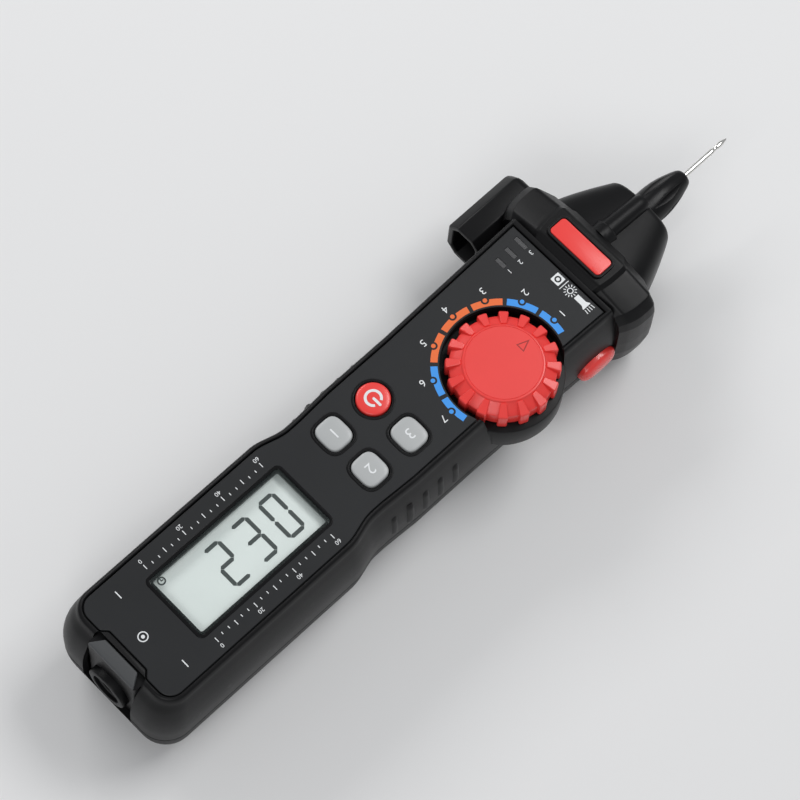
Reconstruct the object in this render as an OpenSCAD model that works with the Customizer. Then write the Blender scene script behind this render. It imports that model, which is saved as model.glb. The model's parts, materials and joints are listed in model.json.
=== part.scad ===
// Pen multimeter: a hand-held meter with its own probe needle at the head, a rotary switch,
// a display, four keys, a side button and one 4 mm socket at the tail.
// Millimetres. The meter lies on its back: +Z leaves the display, +Y runs to the needle's tip,
// and the origin is on the rest face, on the centreline.

/* [Case] */
// Tail end's distance behind the reference point
tail_reach = 112.5; // [108:0.5:118]
// Height of the face sheet above the rest face
case_h = 36; // [35:0.25:38]
// Length of the case from the tail end to the collar
case_l = 160.7; // [160:0.1:162]
// Depth of the line where the two shells meet below the face sheet
part_drop = 20; // [19:0.25:21]
// Shell wall
wall = 1.8; // [1.5:0.1:2]
// How far the side walls bulge past the rim
side_bulge = 2.4; // [1.9:0.1:2.7]
// How far the tail corners bulge past the rim
tail_bulge = 4.5; // [3.5:0.1:5]
// Radius of the case's tail corners at the rim
tail_corner_r = 6; // [5:0.25:7]
// Width of the raised rim round the face sheet
rim_w = 1.5; // [1.2:0.1:1.8]
// How far the rim stands above the face sheet
rim_up = 0.25; // [0.1:0.05:0.4]
// Gap between the face sheet and the rim
rim_gap = 0.35; // [0.2:0.05:0.5]
// Number of grip ribs on each side wall
rib_count = 5; // [3:1:6]
// Spacing of the grip ribs
rib_pitch = 5.3; // [4.5:0.1:5.5]
// How far a grip rib stands out of the wall
rib_up = 0.5; // [0.3:0.05:0.7]

/* [Face sheet] */
// Thickness of the face sheet
sheet_t = 0.6; // [0.4:0.05:0.8]
// Half width of the sheet beside the display
sheet_display_x = 16.9; // [16.5:0.1:17.3]
// Half width of the sheet at the waist
sheet_waist_x = 14.8; // [14.4:0.1:15.2]
// Half width of the sheet beside the keys
sheet_key_x = 15.4; // [15:0.1:15.8]
// Half width of the sheet at the collar
sheet_head_x = 16.6; // [16.2:0.1:17]
// Distance from the tail end to the sheet
sheet_start = 6.6; // [6.2:0.1:7]
// Corner radius of the sheet at the tail
sheet_corner_r = 4; // [3:0.25:5]
// Half width of the notch at the tail
notch_x = 8.6; // [8:0.1:9]
// Depth of the notch
notch_d = 1.7; // [1.3:0.1:2]

/* [Display] */
// Distance from the tail end to the window, as a share of the case
window_start_share = 0.14748; // [0.143:0.00001:0.152]
// Length of the window as a share of the case
window_share = 0.27691; // [0.268:0.00001:0.283]
// Width of the window
window_w = 19.8; // [19:0.1:20.5]
// Corner radius of the window
window_r = 1; // [0.5:0.1:2]
// Thickness of the clear window
window_t = 1.1; // [0.8:0.1:1.4]
// Width of the raised bezel round the window
bezel_w = 0.8; // [0.6:0.05:1]
// Thickness of the liquid crystal glass
glass_t = 2.6; // [2.2:0.1:2.8]
// Thickness of the backlight plate
backlight_t = 2; // [1.5:0.1:2.2]

/* [Keys] */
// Sideways distance of the key centres from the centreline
key_x = 6.6; // [6.3:0.1:7]
// Distance from the tail end to the first row of keys, as a share of the case
key_row_share = 0.52707; // [0.523:0.00001:0.532]
// Spacing of the rows of keys as a share of the case
key_step_share = 0.0865; // [0.084:0.0001:0.09]
// Width of a grey key
key_w = 7.9; // [7.5:0.1:8.2]
// Length of a grey key
key_l = 7; // [6.6:0.1:7.4]
// Squareness of a grey key's outline, where 2 is an ellipse
key_square = 3.4; // [2.6:0.1:5]
// Diameter of the power key
power_d = 8.8; // [8.2:0.1:9.2]
// Travel of a key
key_travel = 0.8; // [0.4:0.05:0.8]
// How far a key stands above the face sheet
key_up = 0.9; // [0.85:0.05:1.3]
// Gap between a key and its hole
key_gap = 0.25; // [0.15:0.05:0.35]

/* [Rotary switch] */
// Sideways place of the dial's centre
dial_x = 9.45; // [9:0.05:9.9]
// Distance from the tail end to the dial's axis, as a share of the case
dial_share = 0.80523; // [0.8:0.00001:0.812]
// Radius over the knob's teeth
dial_r = 15; // [14.6:0.1:15.4]
// Radius of the knob between its teeth
dial_root_r = 13.9; // [13.4:0.1:14.2]
// Number of teeth on the knob
dial_teeth = 16; // [12:1:20]
// Height of the knob's top above the face sheet
dial_up = 1.9; // [1.5:0.1:2.5]
// Depth of the well under the face sheet
well_d = 5; // [4.8:0.1:5.4]
// Radius of the well
well_r = 16.3; // [16:0.1:16.6]
// Radius of the shell's bulge under the knob
bulge_r = 16.6; // [16.3:0.1:17]
// Radius of the knob's hub
hub_r = 4; // [3.5:0.1:4.5]
// Running clearance of the hub in the shell
hub_gap = 0.08; // [0.04:0.01:0.1]
// Radius of the rotor under the shell
rotor_r = 11.4; // [11:0.1:11.6]
// Thickness of the rotor
rotor_t = 2.4; // [2.2:0.1:2.5]
// Degrees from one position to the next
step_deg = 30; // [24:1:30]
// Radius of a detent ball
ball_r = 0.9; // [0.8:0.05:1]

/* [Side button] */
// Distance from the collar back to the side button
button_back = 6.5; // [6.3:0.1:7.2]
// Depth of the side button's middle below the face sheet
button_drop = 18.7; // [17.5:0.1:19.5]
// Length of the button
button_l = 12.4; // [11:0.2:12.6]
// Height across the button
button_w = 7.8; // [7:0.2:8.4]
// How far the button stands out of the wall
button_up = 2.8; // [2.2:0.1:3.2]
// Travel of the button
button_travel = 1; // [0.5:0.1:1]

/* [Head and probe] */
// Length of the collar
collar_l = 13.8; // [13:0.2:15]
// Half width of the collar
collar_x = 24.3; // [23.5:0.1:25]
// Height of the collar's top above the face sheet
collar_up = 1.3; // [1:0.1:1.6]
// Length of the nose
nose_l = 17.1; // [16:0.2:19]
// Half width of the nose at the collar
nose_base_x = 17.6; // [16.6:0.2:18.6]
// Half width of the nose at its end
nose_end_x = 10.4; // [9.5:0.2:11.5]
// Half height of the nose at the collar
nose_base_z = 12.2; // [11.8:0.1:13]
// Half height of the nose at its end
nose_end_z = 9.2; // [8.5:0.1:10]
// Depth of the needle's and the socket's axis below the face sheet
axis_drop = 15; // [14.5:0.1:15.5]
// Length of the insulating sleeve outside the nose
sleeve_l = 16.9; // [15:0.2:19]
// Radius of the sleeve
sleeve_r = 4.9; // [4.6:0.1:5.2]
// Radius of the sleeve's tip
sleeve_tip_r = 2; // [1.6:0.1:2.4]
// Bare length of the needle
needle_l = 16.5; // [15:0.25:19]
// Radius of the needle
needle_r = 0.75; // [0.6:0.05:0.85]
// Radius of the needle's root, which the sleeve holds
needle_root_r = 1.2; // [1.15:0.05:1.3]
// Radius of the torch's barrel on the nose
barrel_r = 2.2; // [2:0.1:2.6]
// Radius of the torch lamp
lamp_r = 1.5; // [1.3:0.1:1.6]

/* [Label] */
// Width of the red plate
label_w = 18.1; // [17:0.1:19]
// Length of the red plate
label_l = 5.8; // [5.4:0.1:6.4]
// Corner radius of the red plate
label_r = 1.2; // [0.8:0.1:1.8]
// Distance from the collar's near end to the plate's centre
label_at = 6.3; // [5.8:0.1:6.8]

/* [Probe holder] */
// Length of the holder
holder_l = 23.2; // [20:0.4:26]
// Width of the holder
holder_w = 11.4; // [10.6:0.2:12]
// Height of the holder
holder_h = 16; // [15:0.5:17]
// How far the holder stands out past the collar
holder_out = 6.8; // [6.2:0.1:7.2]
// Wall of the holder
holder_wall = 1.8; // [1.6:0.1:2]
// Depth of the holder's pocket
pocket_d = 20; // [16:0.5:21]

/* [Socket] */
// Bore radius of the 4 mm socket
socket_r = 2.01; // [2.01:0.01:2.05]
// Wall of the socket tube
socket_wall = 0.8; // [0.6:0.05:1]
// Depth of the socket
socket_l = 18; // [16:0.5:18.5]
// Radius of the insulating boss round the socket
boss_r = 6.3; // [6:0.1:6.8]
// How far the boss stands out of the jack block
boss_up = 2.2; // [1.8:0.1:2.6]

/* [Power] */
// Radius of an AAA cell
cell_r = 5.15; // [5:0.05:5.25]
// Length of an AAA cell
cell_l = 44.5; // [43.5:0.1:44.5]
// Length of a battery spring as fitted
spring_l = 5.5; // [5:0.1:6]
// Coils of a battery spring
spring_turns = 4; // [3:1:4]
// Wire diameter of a battery spring
spring_wire = 0.6; // [0.5:0.05:0.7]
// Distance from the tail end to the battery bay
bay_start = 28.5; // [28:0.1:29]
// Thickness of the battery cover
cover_t = 1.5; // [1.2:0.1:1.6]

/* [Circuit board] */
// Thickness of the board
board_t = 1.6; // [1:0.1:1.8]
// Depth of the board's upper face below the face sheet
board_drop = 11; // [10.8:0.1:11.4]
// Half width of the board
board_x = 13; // [12.6:0.1:13.2]

/* [Hidden] */
$fn = 72;
over = 1;
gap = 0.1;
hair = 0.02;
fit = 0.25;
arc_steps = 6;
screw_r = 1.1;
screw_gap = 0.1;
screw_head_r = 2.2;
screw_head_t = 1.6;

// Places along the case
tail_y = -tail_reach;
collar_y = tail_y + case_l;
nose_y = collar_y + collar_l;
sleeve_y = nose_y + nose_l;
needle_y = sleeve_y + sleeve_l;
tip_y = needle_y + needle_l;
case_end_y = collar_y + collar_l * 0.7;
window_l = case_l * window_share;
window_end_y = tail_y + case_l * window_start_share + window_l;
window_y = window_end_y - window_l / 2;
key_row_step = case_l * key_step_share;
key_y1 = tail_y + case_l * key_row_share;
key_y2 = key_y1 + key_row_step;
dial_y = tail_y + case_l * dial_share;
button_y = collar_y - button_back;
waist_shares = [0.312, 0.523];
waist_ys = [for (w = waist_shares) window_end_y + (key_y2 - key_l - window_end_y) * w];
waist_y = waist_ys[0];
sheet_tail_y = tail_y + sheet_start;
rim_out = rim_gap + rim_w;
rim_tail_y = sheet_tail_y - rim_out;

// Heights in the case
part_h = case_h - part_drop;
board_h = case_h - board_drop;
axis_h = case_h - axis_drop;
button_h = case_h - button_drop;
sheet_z = case_h - sheet_t;
roof_z = sheet_z - wall;
well_z = case_h - well_d;
well_under_z = well_z - wall;
rotor_z = well_under_z - 2 * gap - rotor_t;
board_z = board_h - board_t;

// Each row is a height as a share of the case and the wall's bulge as shares of the side and
// tail bulges
wall_shares = [[0, -1.3, -0.1], [0.028, -0.75, 0.18], [0.083, -0.2, 0.4], [0.22, 0.5, 0.76],
    [0.33, 0.8, 0.93], [0.44, 0.97, 1], [0.56, 1, 1], [0.72, 0.8, 0.85], [0.86, 0.38, 0.48],
    [0.955, 0, 0.06], [0.985, -0.08, 0], [1.007, -0.35, -0.12]];
function side_at(z) = side_bulge * lookup(z / case_h, [for (w = wall_shares) [w[0], w[1]]]);
function tail_at(z) = tail_bulge * lookup(z / case_h, [for (w = wall_shares) [w[0], w[2]]]);

// The sheet's half width from the tail to the collar
sheet_sides = [[window_end_y, sheet_display_x], [waist_y, sheet_waist_x],
    [waist_ys[1], sheet_waist_x], [key_y2 - key_l, sheet_key_x],
    [dial_y - well_r, sheet_key_x], [collar_y, sheet_head_x]];

// Points on an arc about a centre
function arc(x, y, r, a, b, n = arc_steps) =
    [for (i = [0 : n]) let (t = a + (b - a) * i / n) [x + r * cos(t), y + r * sin(t)]];
// A rectangle with round corners
function round_rect(w, l, r, x = 0, y = 0) = let (a = w / 2 - r, b = l / 2 - r) concat(
    arc(x + a, y - b, r, -90, 0), arc(x + a, y + b, r, 0, 90),
    arc(x - a, y + b, r, 90, 180), arc(x - a, y - b, r, 180, 270));
// A square drawn towards an ellipse
function squircle(w, l, n, steps = 40, x = 0, y = 0) = [for (i = [0 : steps - 1])
    let (t = 360 * i / steps, c = cos(t), s = sin(t))
    [x + w / 2 * sign(c) * pow(abs(c), 2 / n), y + l / 2 * sign(s) * pow(abs(s), 2 / n)]];
// The same outline on the other side
function mirrored(points) = [for (i = [len(points) - 1 : -1 : 0]) [-points[i][0], points[i][1]]];
// A ring of points at a height
function level(points, z) = [for (p = points) [p[0], p[1], z]];
// A ring of points across the case at a place along it, where each point holds x and height
function station(points, y) = [for (p = points) [p[0], y, p[1]]];

// Skins a stack of rings of points and caps both ends
module loft(rings, flip = false) {
    n = len(rings[0]);
    m = len(rings);
    faces = concat([[for (i = [0 : n - 1]) i]], [[for (i = [n - 1 : -1 : 0]) (m - 1) * n + i]],
        [for (j = [0 : m - 2], i = [0 : n - 1]) let (k = (i + 1) % n, a = j * n, b = a + n)
            each [[a + i, b + i, b + k], [a + i, b + k, a + k]]]);
    polyhedron([for (r = rings) each r],
        flip ? [for (f = faces) [for (i = [len(f) - 1 : -1 : 0]) f[i]]] : faces, 10);
}

// A plate of an outline between two heights
module plate(points, z, t) {
    translate([0, 0, z]) linear_extrude(t) polygon(points);
}

// A round bar along the case
module bar(r, l, x, y, z) {
    translate([x, y, z]) rotate([-90, 0, 0]) cylinder(r = r, h = l);
}

// A block by its middle, its lower face and its sizes
module block(w, l, h, x, y, z) {
    translate([x - w / 2, y - l / 2, z]) cube([w, l, h]);
}

// The case's outline at a height, drawn in by a wall
function case_outline(z, inset = 0) = let (
    s = side_at(z) - inset, t = tail_at(z) - inset,
    r = max(tail_corner_r + tail_at(z) / 2 - inset, wall),
    w = sheet_display_x + rim_out + s, y = rim_tail_y - t,
    right = concat(arc(w - r, y + r, r, -90, 0),
        [for (p = sheet_sides) [p[1] + rim_out + s, p[0]]],
        [[sheet_head_x + s, collar_y + over], [sheet_head_x - rim_out + s, case_end_y - inset]]))
    concat(right, mirrored(right));

// The case's solid shape between two heights, with flat ends
module case_form(low, high, inset = 0) {
    mid = [for (w = wall_shares) let (z = w[0] * case_h) if (z > low + gap && z < high - gap) z];
    intersection() {
        loft(concat([level(case_outline(low, inset), low - over),
            level(case_outline(low, inset), low + hair)],
            [for (z = mid) level(case_outline(z, inset), z)],
            [level(case_outline(high, inset), high - hair),
            level(case_outline(high, inset), high + over)]));
        translate([-tail_reach, -tail_reach - over, low]) cube([2 * tail_reach, case_l * 2, high - low]);
    }
}

// The sheet's outline, grown by a margin
function sheet_outline(grow = 0) = let (
    r = sheet_corner_r + grow, w = sheet_display_x + grow, y = sheet_tail_y - grow,
    n = notch_x - grow / 2,
    right = concat([[n - notch_d, y + notch_d], [n, y]], arc(w - r, y + r, r, -90, 0),
        [for (p = sheet_sides) [p[1] + grow, p[0] + (p[0] == collar_y ? grow : 0)]]))
    concat(right, mirrored(right));

// The three lamp bars beside the head: centre x, y and width
lamp_l = 1.2;
lamp_step = (collar_y - dial_y - well_r) * 0.26;
lamp_in_x = 9.8;
lamp_w = 3.2;
lamp_w_step = 0.45;
lamp_bars = [for (i = [0 : 2]) let (w = lamp_w + i * lamp_w_step)
    [-lamp_in_x - w / 2, dial_y + well_r + lamp_step * (i + 0.9), w]];

// Every hole through the front wall, each grown by a margin
module face_holes(z, t, grow = 0) {
    for (k = [[key_x, key_y1], [key_x, key_y2], [-key_x, key_y1]])
        plate(squircle(key_w + 2 * (key_gap + grow), key_l + 2 * (key_gap + grow), key_square,
            x = k[0], y = k[1]), z, t);
    translate([-key_x, key_y2, z]) cylinder(r = power_d / 2 + key_gap + grow, h = t);
    for (b = lamp_bars) block(b[2] + 2 * gap, lamp_l + 2 * gap, t, b[0], b[1], z);
}

// Where the case's screws stand: x, y
tail_screw_x = 12.6;
tail_screw_at = 12.6;
head_screw_x = 10.1;
head_screw_at = 4;
screw_places = [for (side = [1, -1]) each [[side * tail_screw_x, tail_y + tail_screw_at],
    [side * head_screw_x, collar_y + head_screw_at]]];
// Where the board's screws stand
board_screw_x = 11.2;
board_screw_at = (key_y1 - window_end_y) * 0.36;
board_end_screw_x = -4;
board_end_screw_at = 21;
board_places = [[board_screw_x, window_end_y + board_screw_at],
    [-board_screw_x, window_end_y + board_screw_at],
    [board_end_screw_x, dial_y + board_end_screw_at]];
post_r = 2.6;
board_post_r = 1.9;
board_screw_r = 0.8;

// The side wall's outer face where the button is
button_seat = 0.4;
button_wall_x = sheet_head_x + rim_out + side_at(button_h) - button_seat;
// A slot-shaped outline in height and length, as points of y and z about the button's centre
function button_outline(grow) = let (r = button_w / 2 + grow, a = (button_l - button_w) / 2)
    concat(arc(a, 0, r, -90, 90, 12), arc(-a, 0, r, 90, 270, 12));
function button_ring(grow, x) = [for (p = button_outline(grow))
    [x, button_y + p[0], button_h + p[1]]];
module button_form(rings) {
    loft([for (r = rings) button_ring(r[0], r[1])]);
}

module front_shell() {
    color([0.09, 0.09, 0.1]) difference() {
        union() {
            difference() {
                union() {
                    case_form(part_h, case_h + rim_up);
                    translate([dial_x, dial_y, part_h + side_bulge])
                        cylinder(r1 = dial_root_r, r2 = bulge_r, h = hub_r);
                    translate([dial_x, dial_y, part_h + side_bulge + hub_r])
                        cylinder(r = bulge_r, h = well_z - part_h - side_bulge - hub_r);
                }
                case_form(part_h - over, roof_z, wall);
                translate([dial_x, dial_y, part_h + side_bulge + hub_r])
                    cylinder(r = bulge_r - wall, h = well_under_z - part_h - side_bulge - hub_r);
            }
            intersection() {
                case_form(part_h, roof_z, wall / 2);
                difference() {
                    translate([dial_x, dial_y, well_under_z])
                        cylinder(r = well_r + wall, h = roof_z - well_under_z);
                    translate([dial_x, dial_y, well_under_z - over])
                        cylinder(r = well_r - wall, h = over);
                }
            }
            for (s = screw_places)
                translate([s[0], s[1], part_h]) cylinder(r = post_r, h = roof_z - part_h + gap);
            for (s = board_places) translate([s[0], s[1], board_h])
                cylinder(r = board_post_r, h = roof_z - board_h + gap);
            grip_ribs(part_h + rib_pitch / 2, well_z - rib_pitch / 2);
            tail_walls(part_h, roof_z);
        }
        plate(sheet_outline(rim_gap), sheet_z, over + rim_up);
        plate(round_rect(window_w + 2 * bezel_w, window_l + 2 * bezel_w, window_r + bezel_w,
            0, window_y), roof_z - over, wall + 2 * over);
        face_holes(roof_z - over, wall + 2 * over);
        translate([dial_x, dial_y, well_z]) cylinder(r = well_r, h = well_d + over);
        translate([dial_x, dial_y, well_under_z - over]) cylinder(r = hub_r + hub_gap, h = well_d);
        for (s = screw_places)
            translate([s[0], s[1], part_h - over]) cylinder(r = screw_r + screw_gap, h = well_d * 2);
        for (s = board_places) translate([s[0], s[1], board_h - over])
            cylinder(r = board_screw_r + screw_gap, h = well_d);
        button_form([[fit, button_wall_x - wall * 2], [fit, button_wall_x + wall]]);
        tail_pocket();
        head_way();
        bar(socket_r + socket_wall + gap, socket_l, 0, tail_y, axis_h);
    }
}

// Upright ribs on both side walls by the keys
module grip_ribs(low, high) {
    rib_r = rib_pitch * 0.3;
    for (side = [-1, 1], i = [0 : rib_count - 1]) translate([
        side * (sheet_key_x + rim_out + side_bulge * 0.75 - rib_r + rib_up),
        waist_y + rib_pitch * (i + 1.3), low]) cylinder(r = rib_r, h = high - low, $fn = 24);
}

// The recess between the tail's corner bumpers
block_x = notch_x + gap;
block_y = rim_tail_y + notch_d;
block_end_y = tail_y + boss_up;
module tail_pocket() {
    translate([-block_x - gap, tail_y - over, axis_h - boss_r - wall])
        cube([2 * (block_x + gap), block_y - tail_y + over, case_h]);
}

// The walls round that recess, inside the case
module tail_walls(low, high) {
    intersection() {
        case_form(low, high, wall / 2);
        translate([-block_x - wall, tail_y, axis_h - boss_r - 2 * wall])
            cube([2 * (block_x + wall), block_y - tail_y + wall, case_h]);
    }
}

// The way through the case's head wall for the needle's strap and the sensing plate
module head_way() {
    way_z = nose_end_z - gap;
    translate([-nose_end_x, case_end_y - 2 * wall, axis_h - way_z])
        cube([2 * nose_end_x, 2 * wall + over, 2 * way_z]);
}

module rear_shell() {
    bay_l = bay_out_l + 2 * wall;
    color([0.08, 0.08, 0.09]) difference() {
        union() {
            difference() {
                case_form(0, part_h);
                case_form(wall, part_h + over, wall);
            }
            block(2 * (bay_x + wall), bay_l, bay_top - gap, 0, bay_mid_y, gap);
            for (s = screw_places)
                translate([s[0], s[1], gap]) cylinder(r = post_r, h = part_h - gap);
            translate([0, cover_screw_y, gap]) cylinder(r = post_r, h = bay_top - gap);
            tail_walls(gap, part_h);
        }
        block(2 * bay_x, bay_out_l, bay_top - wall + over, 0, bay_mid_y, -over);
        plate(cover_outline(fit), -over, over + cover_t + fit + gap);
        for (s = screw_places) {
            translate([s[0], s[1], -over]) cylinder(r = screw_r + screw_gap, h = part_h + 2 * over);
            translate([s[0], s[1], -over]) cylinder(r = screw_head_r + fit, h = over + 2 * wall);
        }
        translate([0, cover_screw_y, -over]) cylinder(r = screw_r + screw_gap, h = bay_top);
        button_form([[fit, button_wall_x - wall * 2], [fit, button_wall_x + wall]]);
        tail_pocket();
        head_way();
    }
}

module face_sheet() {
    color([0.24, 0.245, 0.25]) difference() {
        plate(sheet_outline(), sheet_z, sheet_t);
        plate(round_rect(window_w + 2 * bezel_w, window_l + 2 * bezel_w, window_r + bezel_w,
            0, window_y), sheet_z - over, sheet_t + 2 * over);
        face_holes(sheet_z - over, sheet_t + 2 * over, 2 * key_gap);
        translate([dial_x, dial_y, sheet_z - over]) cylinder(r = well_r + sheet_t, h = 3 * over);
    }
}

module display_bezel() {
    color([0.05, 0.05, 0.05]) difference() {
        plate(round_rect(window_w + 2 * bezel_w, window_l + 2 * bezel_w, window_r + bezel_w,
            0, window_y), roof_z, sheet_t + wall + rim_up);
        plate(round_rect(window_w, window_l, window_r, 0, window_y), sheet_z - window_t / 2, well_d);
        plate(round_rect(window_w - bezel_w, window_l - bezel_w, window_r, 0, window_y),
            roof_z - over, well_d);
    }
}

module display_window() {
    color([0.85, 0.9, 0.88, 0.3])
        plate(round_rect(window_w, window_l, window_r, 0, window_y), sheet_z - window_t / 2,
            window_t);
}

// Heights of the display's stack under the window
glass_z = roof_z - gap - glass_t;
backlight_z = glass_z - gap - backlight_t;
glass_w = window_w + 4 * bezel_w;
glass_l = window_l + 4 * bezel_w;
strip_w = 1.2;
module display_glass() {
    color([0.8, 0.86, 0.82]) plate(round_rect(glass_w, glass_l, window_r / 2, 0, window_y),
        glass_z, glass_t);
}

module backlight() {
    color([0.9, 0.92, 0.95]) plate(round_rect(glass_w - 4 * strip_w, glass_l, window_r / 2,
        0, window_y), backlight_z, backlight_t);
}

module display_frame() {
    color([0.9, 0.9, 0.88]) difference() {
        plate(round_rect(glass_w + 2 * wall / 2, glass_l + 2 * wall / 2, window_r, 0, window_y),
            board_h, roof_z - board_h);
        plate(round_rect(glass_w + gap, glass_l + gap, window_r / 2, 0, window_y), glass_z, well_d);
        block(glass_w - 4 * strip_w + gap, glass_l + gap, well_d, 0, window_y, backlight_z);
        for (side = [-1, 1]) block(strip_w + gap, window_l, well_d * 3,
            side * (glass_w / 2 - strip_w), window_y, board_h - over);
        block(window_w - 4 * wall, window_l - 4 * wall, well_d * 2, 0, window_y, board_h - over);
    }
}

module zebra_strips() {
    color([0.85, 0.75, 0.6]) for (side = [-1, 1]) block(strip_w, window_l - gap, glass_z - board_h,
        side * (glass_w / 2 - strip_w), window_y, board_h);
}

board_y0 = window_y - glass_l / 2 - wall;
board_y1 = collar_y - wall;
module main_board() {
    color([0.1, 0.35, 0.2]) difference() {
        block(2 * board_x, board_y1 - board_y0, board_t, 0, (board_y0 + board_y1) / 2, board_z);
        translate([dial_x, dial_y, board_z - over])
            cylinder(r = screw_head_r + 2 * fit, h = board_t + 2 * over);
        for (s = screw_places) translate([s[0], s[1], board_z - over])
            cylinder(r = post_r + fit, h = board_t + 2 * over);
        for (s = board_places) translate([s[0], s[1], board_z - over])
            cylinder(r = board_screw_r + screw_gap, h = board_t + 2 * over);
    }
}

chip_w = 12;
chip_t = 1.4;
module main_chip() {
    color([0.07, 0.07, 0.08]) block(chip_w, chip_w, chip_t, 0, window_y, board_z - chip_t);
}

dome_r = 3;
dome_t = 0.5;
key_places = [[-key_x, key_y2], [key_x, key_y2], [-key_x, key_y1], [key_x, key_y1]];
module key_domes() {
    color([0.8, 0.78, 0.7]) for (k = key_places)
        translate([k[0], k[1], board_h]) cylinder(r1 = dome_r, r2 = dome_r * 0.7, h = dome_t);
}

// A key's stem and flange under its cap
key_flange = 0.8;
key_flange_z = roof_z - fit - key_flange;
key_stem_z = board_h + dome_t + key_travel + gap;
module key_foot(x, y) {
    translate([x, y, key_stem_z]) cylinder(r = dome_r / 2, h = key_flange_z - key_stem_z + gap);
}

module grey_key(x, y) {
    top = case_h + key_up;
    edge = key_up * 0.6;
    color([0.8, 0.81, 0.81]) union() {
        key_foot(x, y);
        plate(squircle(key_w + 2 * key_flange, key_l + 2 * key_flange, key_square, x = x, y = y),
            key_flange_z, key_flange);
        loft([for (s = [[0, key_flange_z], [0, top - edge], [0.3, top - edge / 3], [0.9, top]])
            level(squircle(key_w - edge * s[0], key_l - edge * s[0], key_square, x = x, y = y),
                s[1])]);
    }
}

module key_left() { grey_key(-key_x, key_y1); }
module key_right_upper() { grey_key(key_x, key_y2); }
module key_right_lower() { grey_key(key_x, key_y1); }
module key_power() {
    r = power_d / 2;
    edge = key_up * 0.6;
    color([0.85, 0.15, 0.13]) union() {
        key_foot(-key_x, key_y2);
        translate([-key_x, key_y2, key_flange_z]) rotate_extrude() polygon([[0, 0],
            [r + key_flange, 0], [r + key_flange, key_flange], [r, key_flange],
            [r, case_h + key_up - edge - key_flange_z], [r - edge / 3, case_h + key_up - edge / 4
            - key_flange_z], [r - edge, case_h + key_up - key_flange_z],
            [0, case_h + key_up - key_flange_z]]);
    }
}

dial_top_z = case_h + dial_up;
dial_low_z = well_z + 3 * gap;
module dial_knob() {
    h = dial_top_z - dial_low_z;
    slope = dial_up / 2;
    tooth = 2.7;
    tooth_in_r = dial_r * 0.8;
    color([0.85, 0.15, 0.13]) translate([dial_x, dial_y, 0]) difference() {
        union() {
            translate([0, 0, dial_low_z]) rotate_extrude() polygon([[0, 0], [dial_root_r, 0],
                [dial_root_r, h - 2 * slope], [dial_root_r - slope, h - slope],
                [dial_r * 0.77, h - slope * 0.6], [dial_r * 0.72, h], [0, h]]);
            for (i = [0 : dial_teeth - 1]) rotate(i * 360 / dial_teeth) translate([0, 0, dial_low_z])
                linear_extrude(h - slope * 0.4) polygon([[tooth_in_r, -tooth * 0.36],
                    [dial_r, -tooth / 2], [dial_r, tooth / 2], [tooth_in_r, tooth * 0.36]]);
            translate([0, 0, rotor_z]) cylinder(r = hub_r, h = dial_low_z - rotor_z + gap);
        }
        rotate_extrude_ring(dial_r * 0.68, dial_top_z);
        translate([0, 0, rotor_z - over]) cylinder(r = screw_r, h = well_d + rotor_t + over);
    }
}

// The fine groove on the knob's face
module rotate_extrude_ring(r, z) {
    groove = 0.25;
    translate([0, 0, z - groove]) difference() {
        cylinder(r = r, h = over);
        translate([0, 0, -over]) cylinder(r = r - groove, h = 3 * over);
    }
}

module dial_screw() {
    color([0.7, 0.7, 0.72]) translate([dial_x, dial_y, rotor_z - screw_head_t]) union() {
        cylinder(r = screw_head_r, h = screw_head_t);
        cylinder(r = screw_r - screw_gap / 2, h = screw_head_t + rotor_t + well_d - gap);
    }
}

ball_at = rotor_r - ball_r / 2;
ball_z = rotor_z + rotor_t / 2;
detent_turn = 90;
module switch_rotor() {
    color([0.9, 0.9, 0.86]) translate([dial_x, dial_y, 0]) difference() {
        translate([0, 0, rotor_z]) cylinder(r = rotor_r, h = rotor_t);
        translate([0, 0, rotor_z - over]) cylinder(r = hub_r + hub_gap, h = rotor_t + 2 * over);
        for (a = [0, 180]) rotate(a + detent_turn / 2) translate([hub_r + wall, 0, ball_z])
            rotate([0, 90, 0]) cylinder(r = ball_r + gap / 2, h = rotor_r);
    }
}

wiper_t = 0.25;
wiper_z = board_h + 3 * gap;
module wiper_contacts() {
    color([0.8, 0.65, 0.3]) translate([dial_x, dial_y, 0]) for (a = [0, 120, 240]) rotate(a) {
        block(wiper_t * 8, rotor_r / 2, wiper_t, 0, rotor_r * 0.62, rotor_z - wiper_t);
        block(wiper_t * 8, wiper_t, rotor_z - wiper_z, 0, rotor_r * 0.4, wiper_z);
        block(wiper_t * 8, wiper_t * 5, wiper_t, 0, rotor_r * 0.4, wiper_z);
    }
}

module detent_balls() {
    color([0.8, 0.8, 0.82]) translate([dial_x, dial_y, ball_z]) for (a = [0, 180])
        rotate(a + detent_turn / 2) translate([ball_at, 0, 0]) sphere(r = ball_r, $fn = 32);
}

module detent_springs() {
    start = hub_r + wall;
    color([0.6, 0.6, 0.62]) translate([dial_x, dial_y, ball_z]) for (a = [0, 180])
        rotate(a + detent_turn / 2) translate([start, 0, 0]) rotate([0, 90, 0])
            cylinder(r = ball_r * 0.8, h = ball_at - ball_r - start);
}

detent_up = 0.4;
module detent_ring() {
    inner_r = ball_at + ball_r + gap / 2 + detent_up / 2;
    color([0.85, 0.85, 0.8]) translate([dial_x, dial_y, rotor_z + gap]) linear_extrude(
        well_under_z - rotor_z - gap) difference() {
        circle(r = inner_r + wall * 0.7);
        polygon([for (i = [0 : 143]) let (t = 360 * i / 144,
            r = inner_r + detent_up / 2 * cos((t - detent_turn / 2) * 360 / step_deg))
            [r * cos(t), r * sin(t)]]);
    }
}

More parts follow.
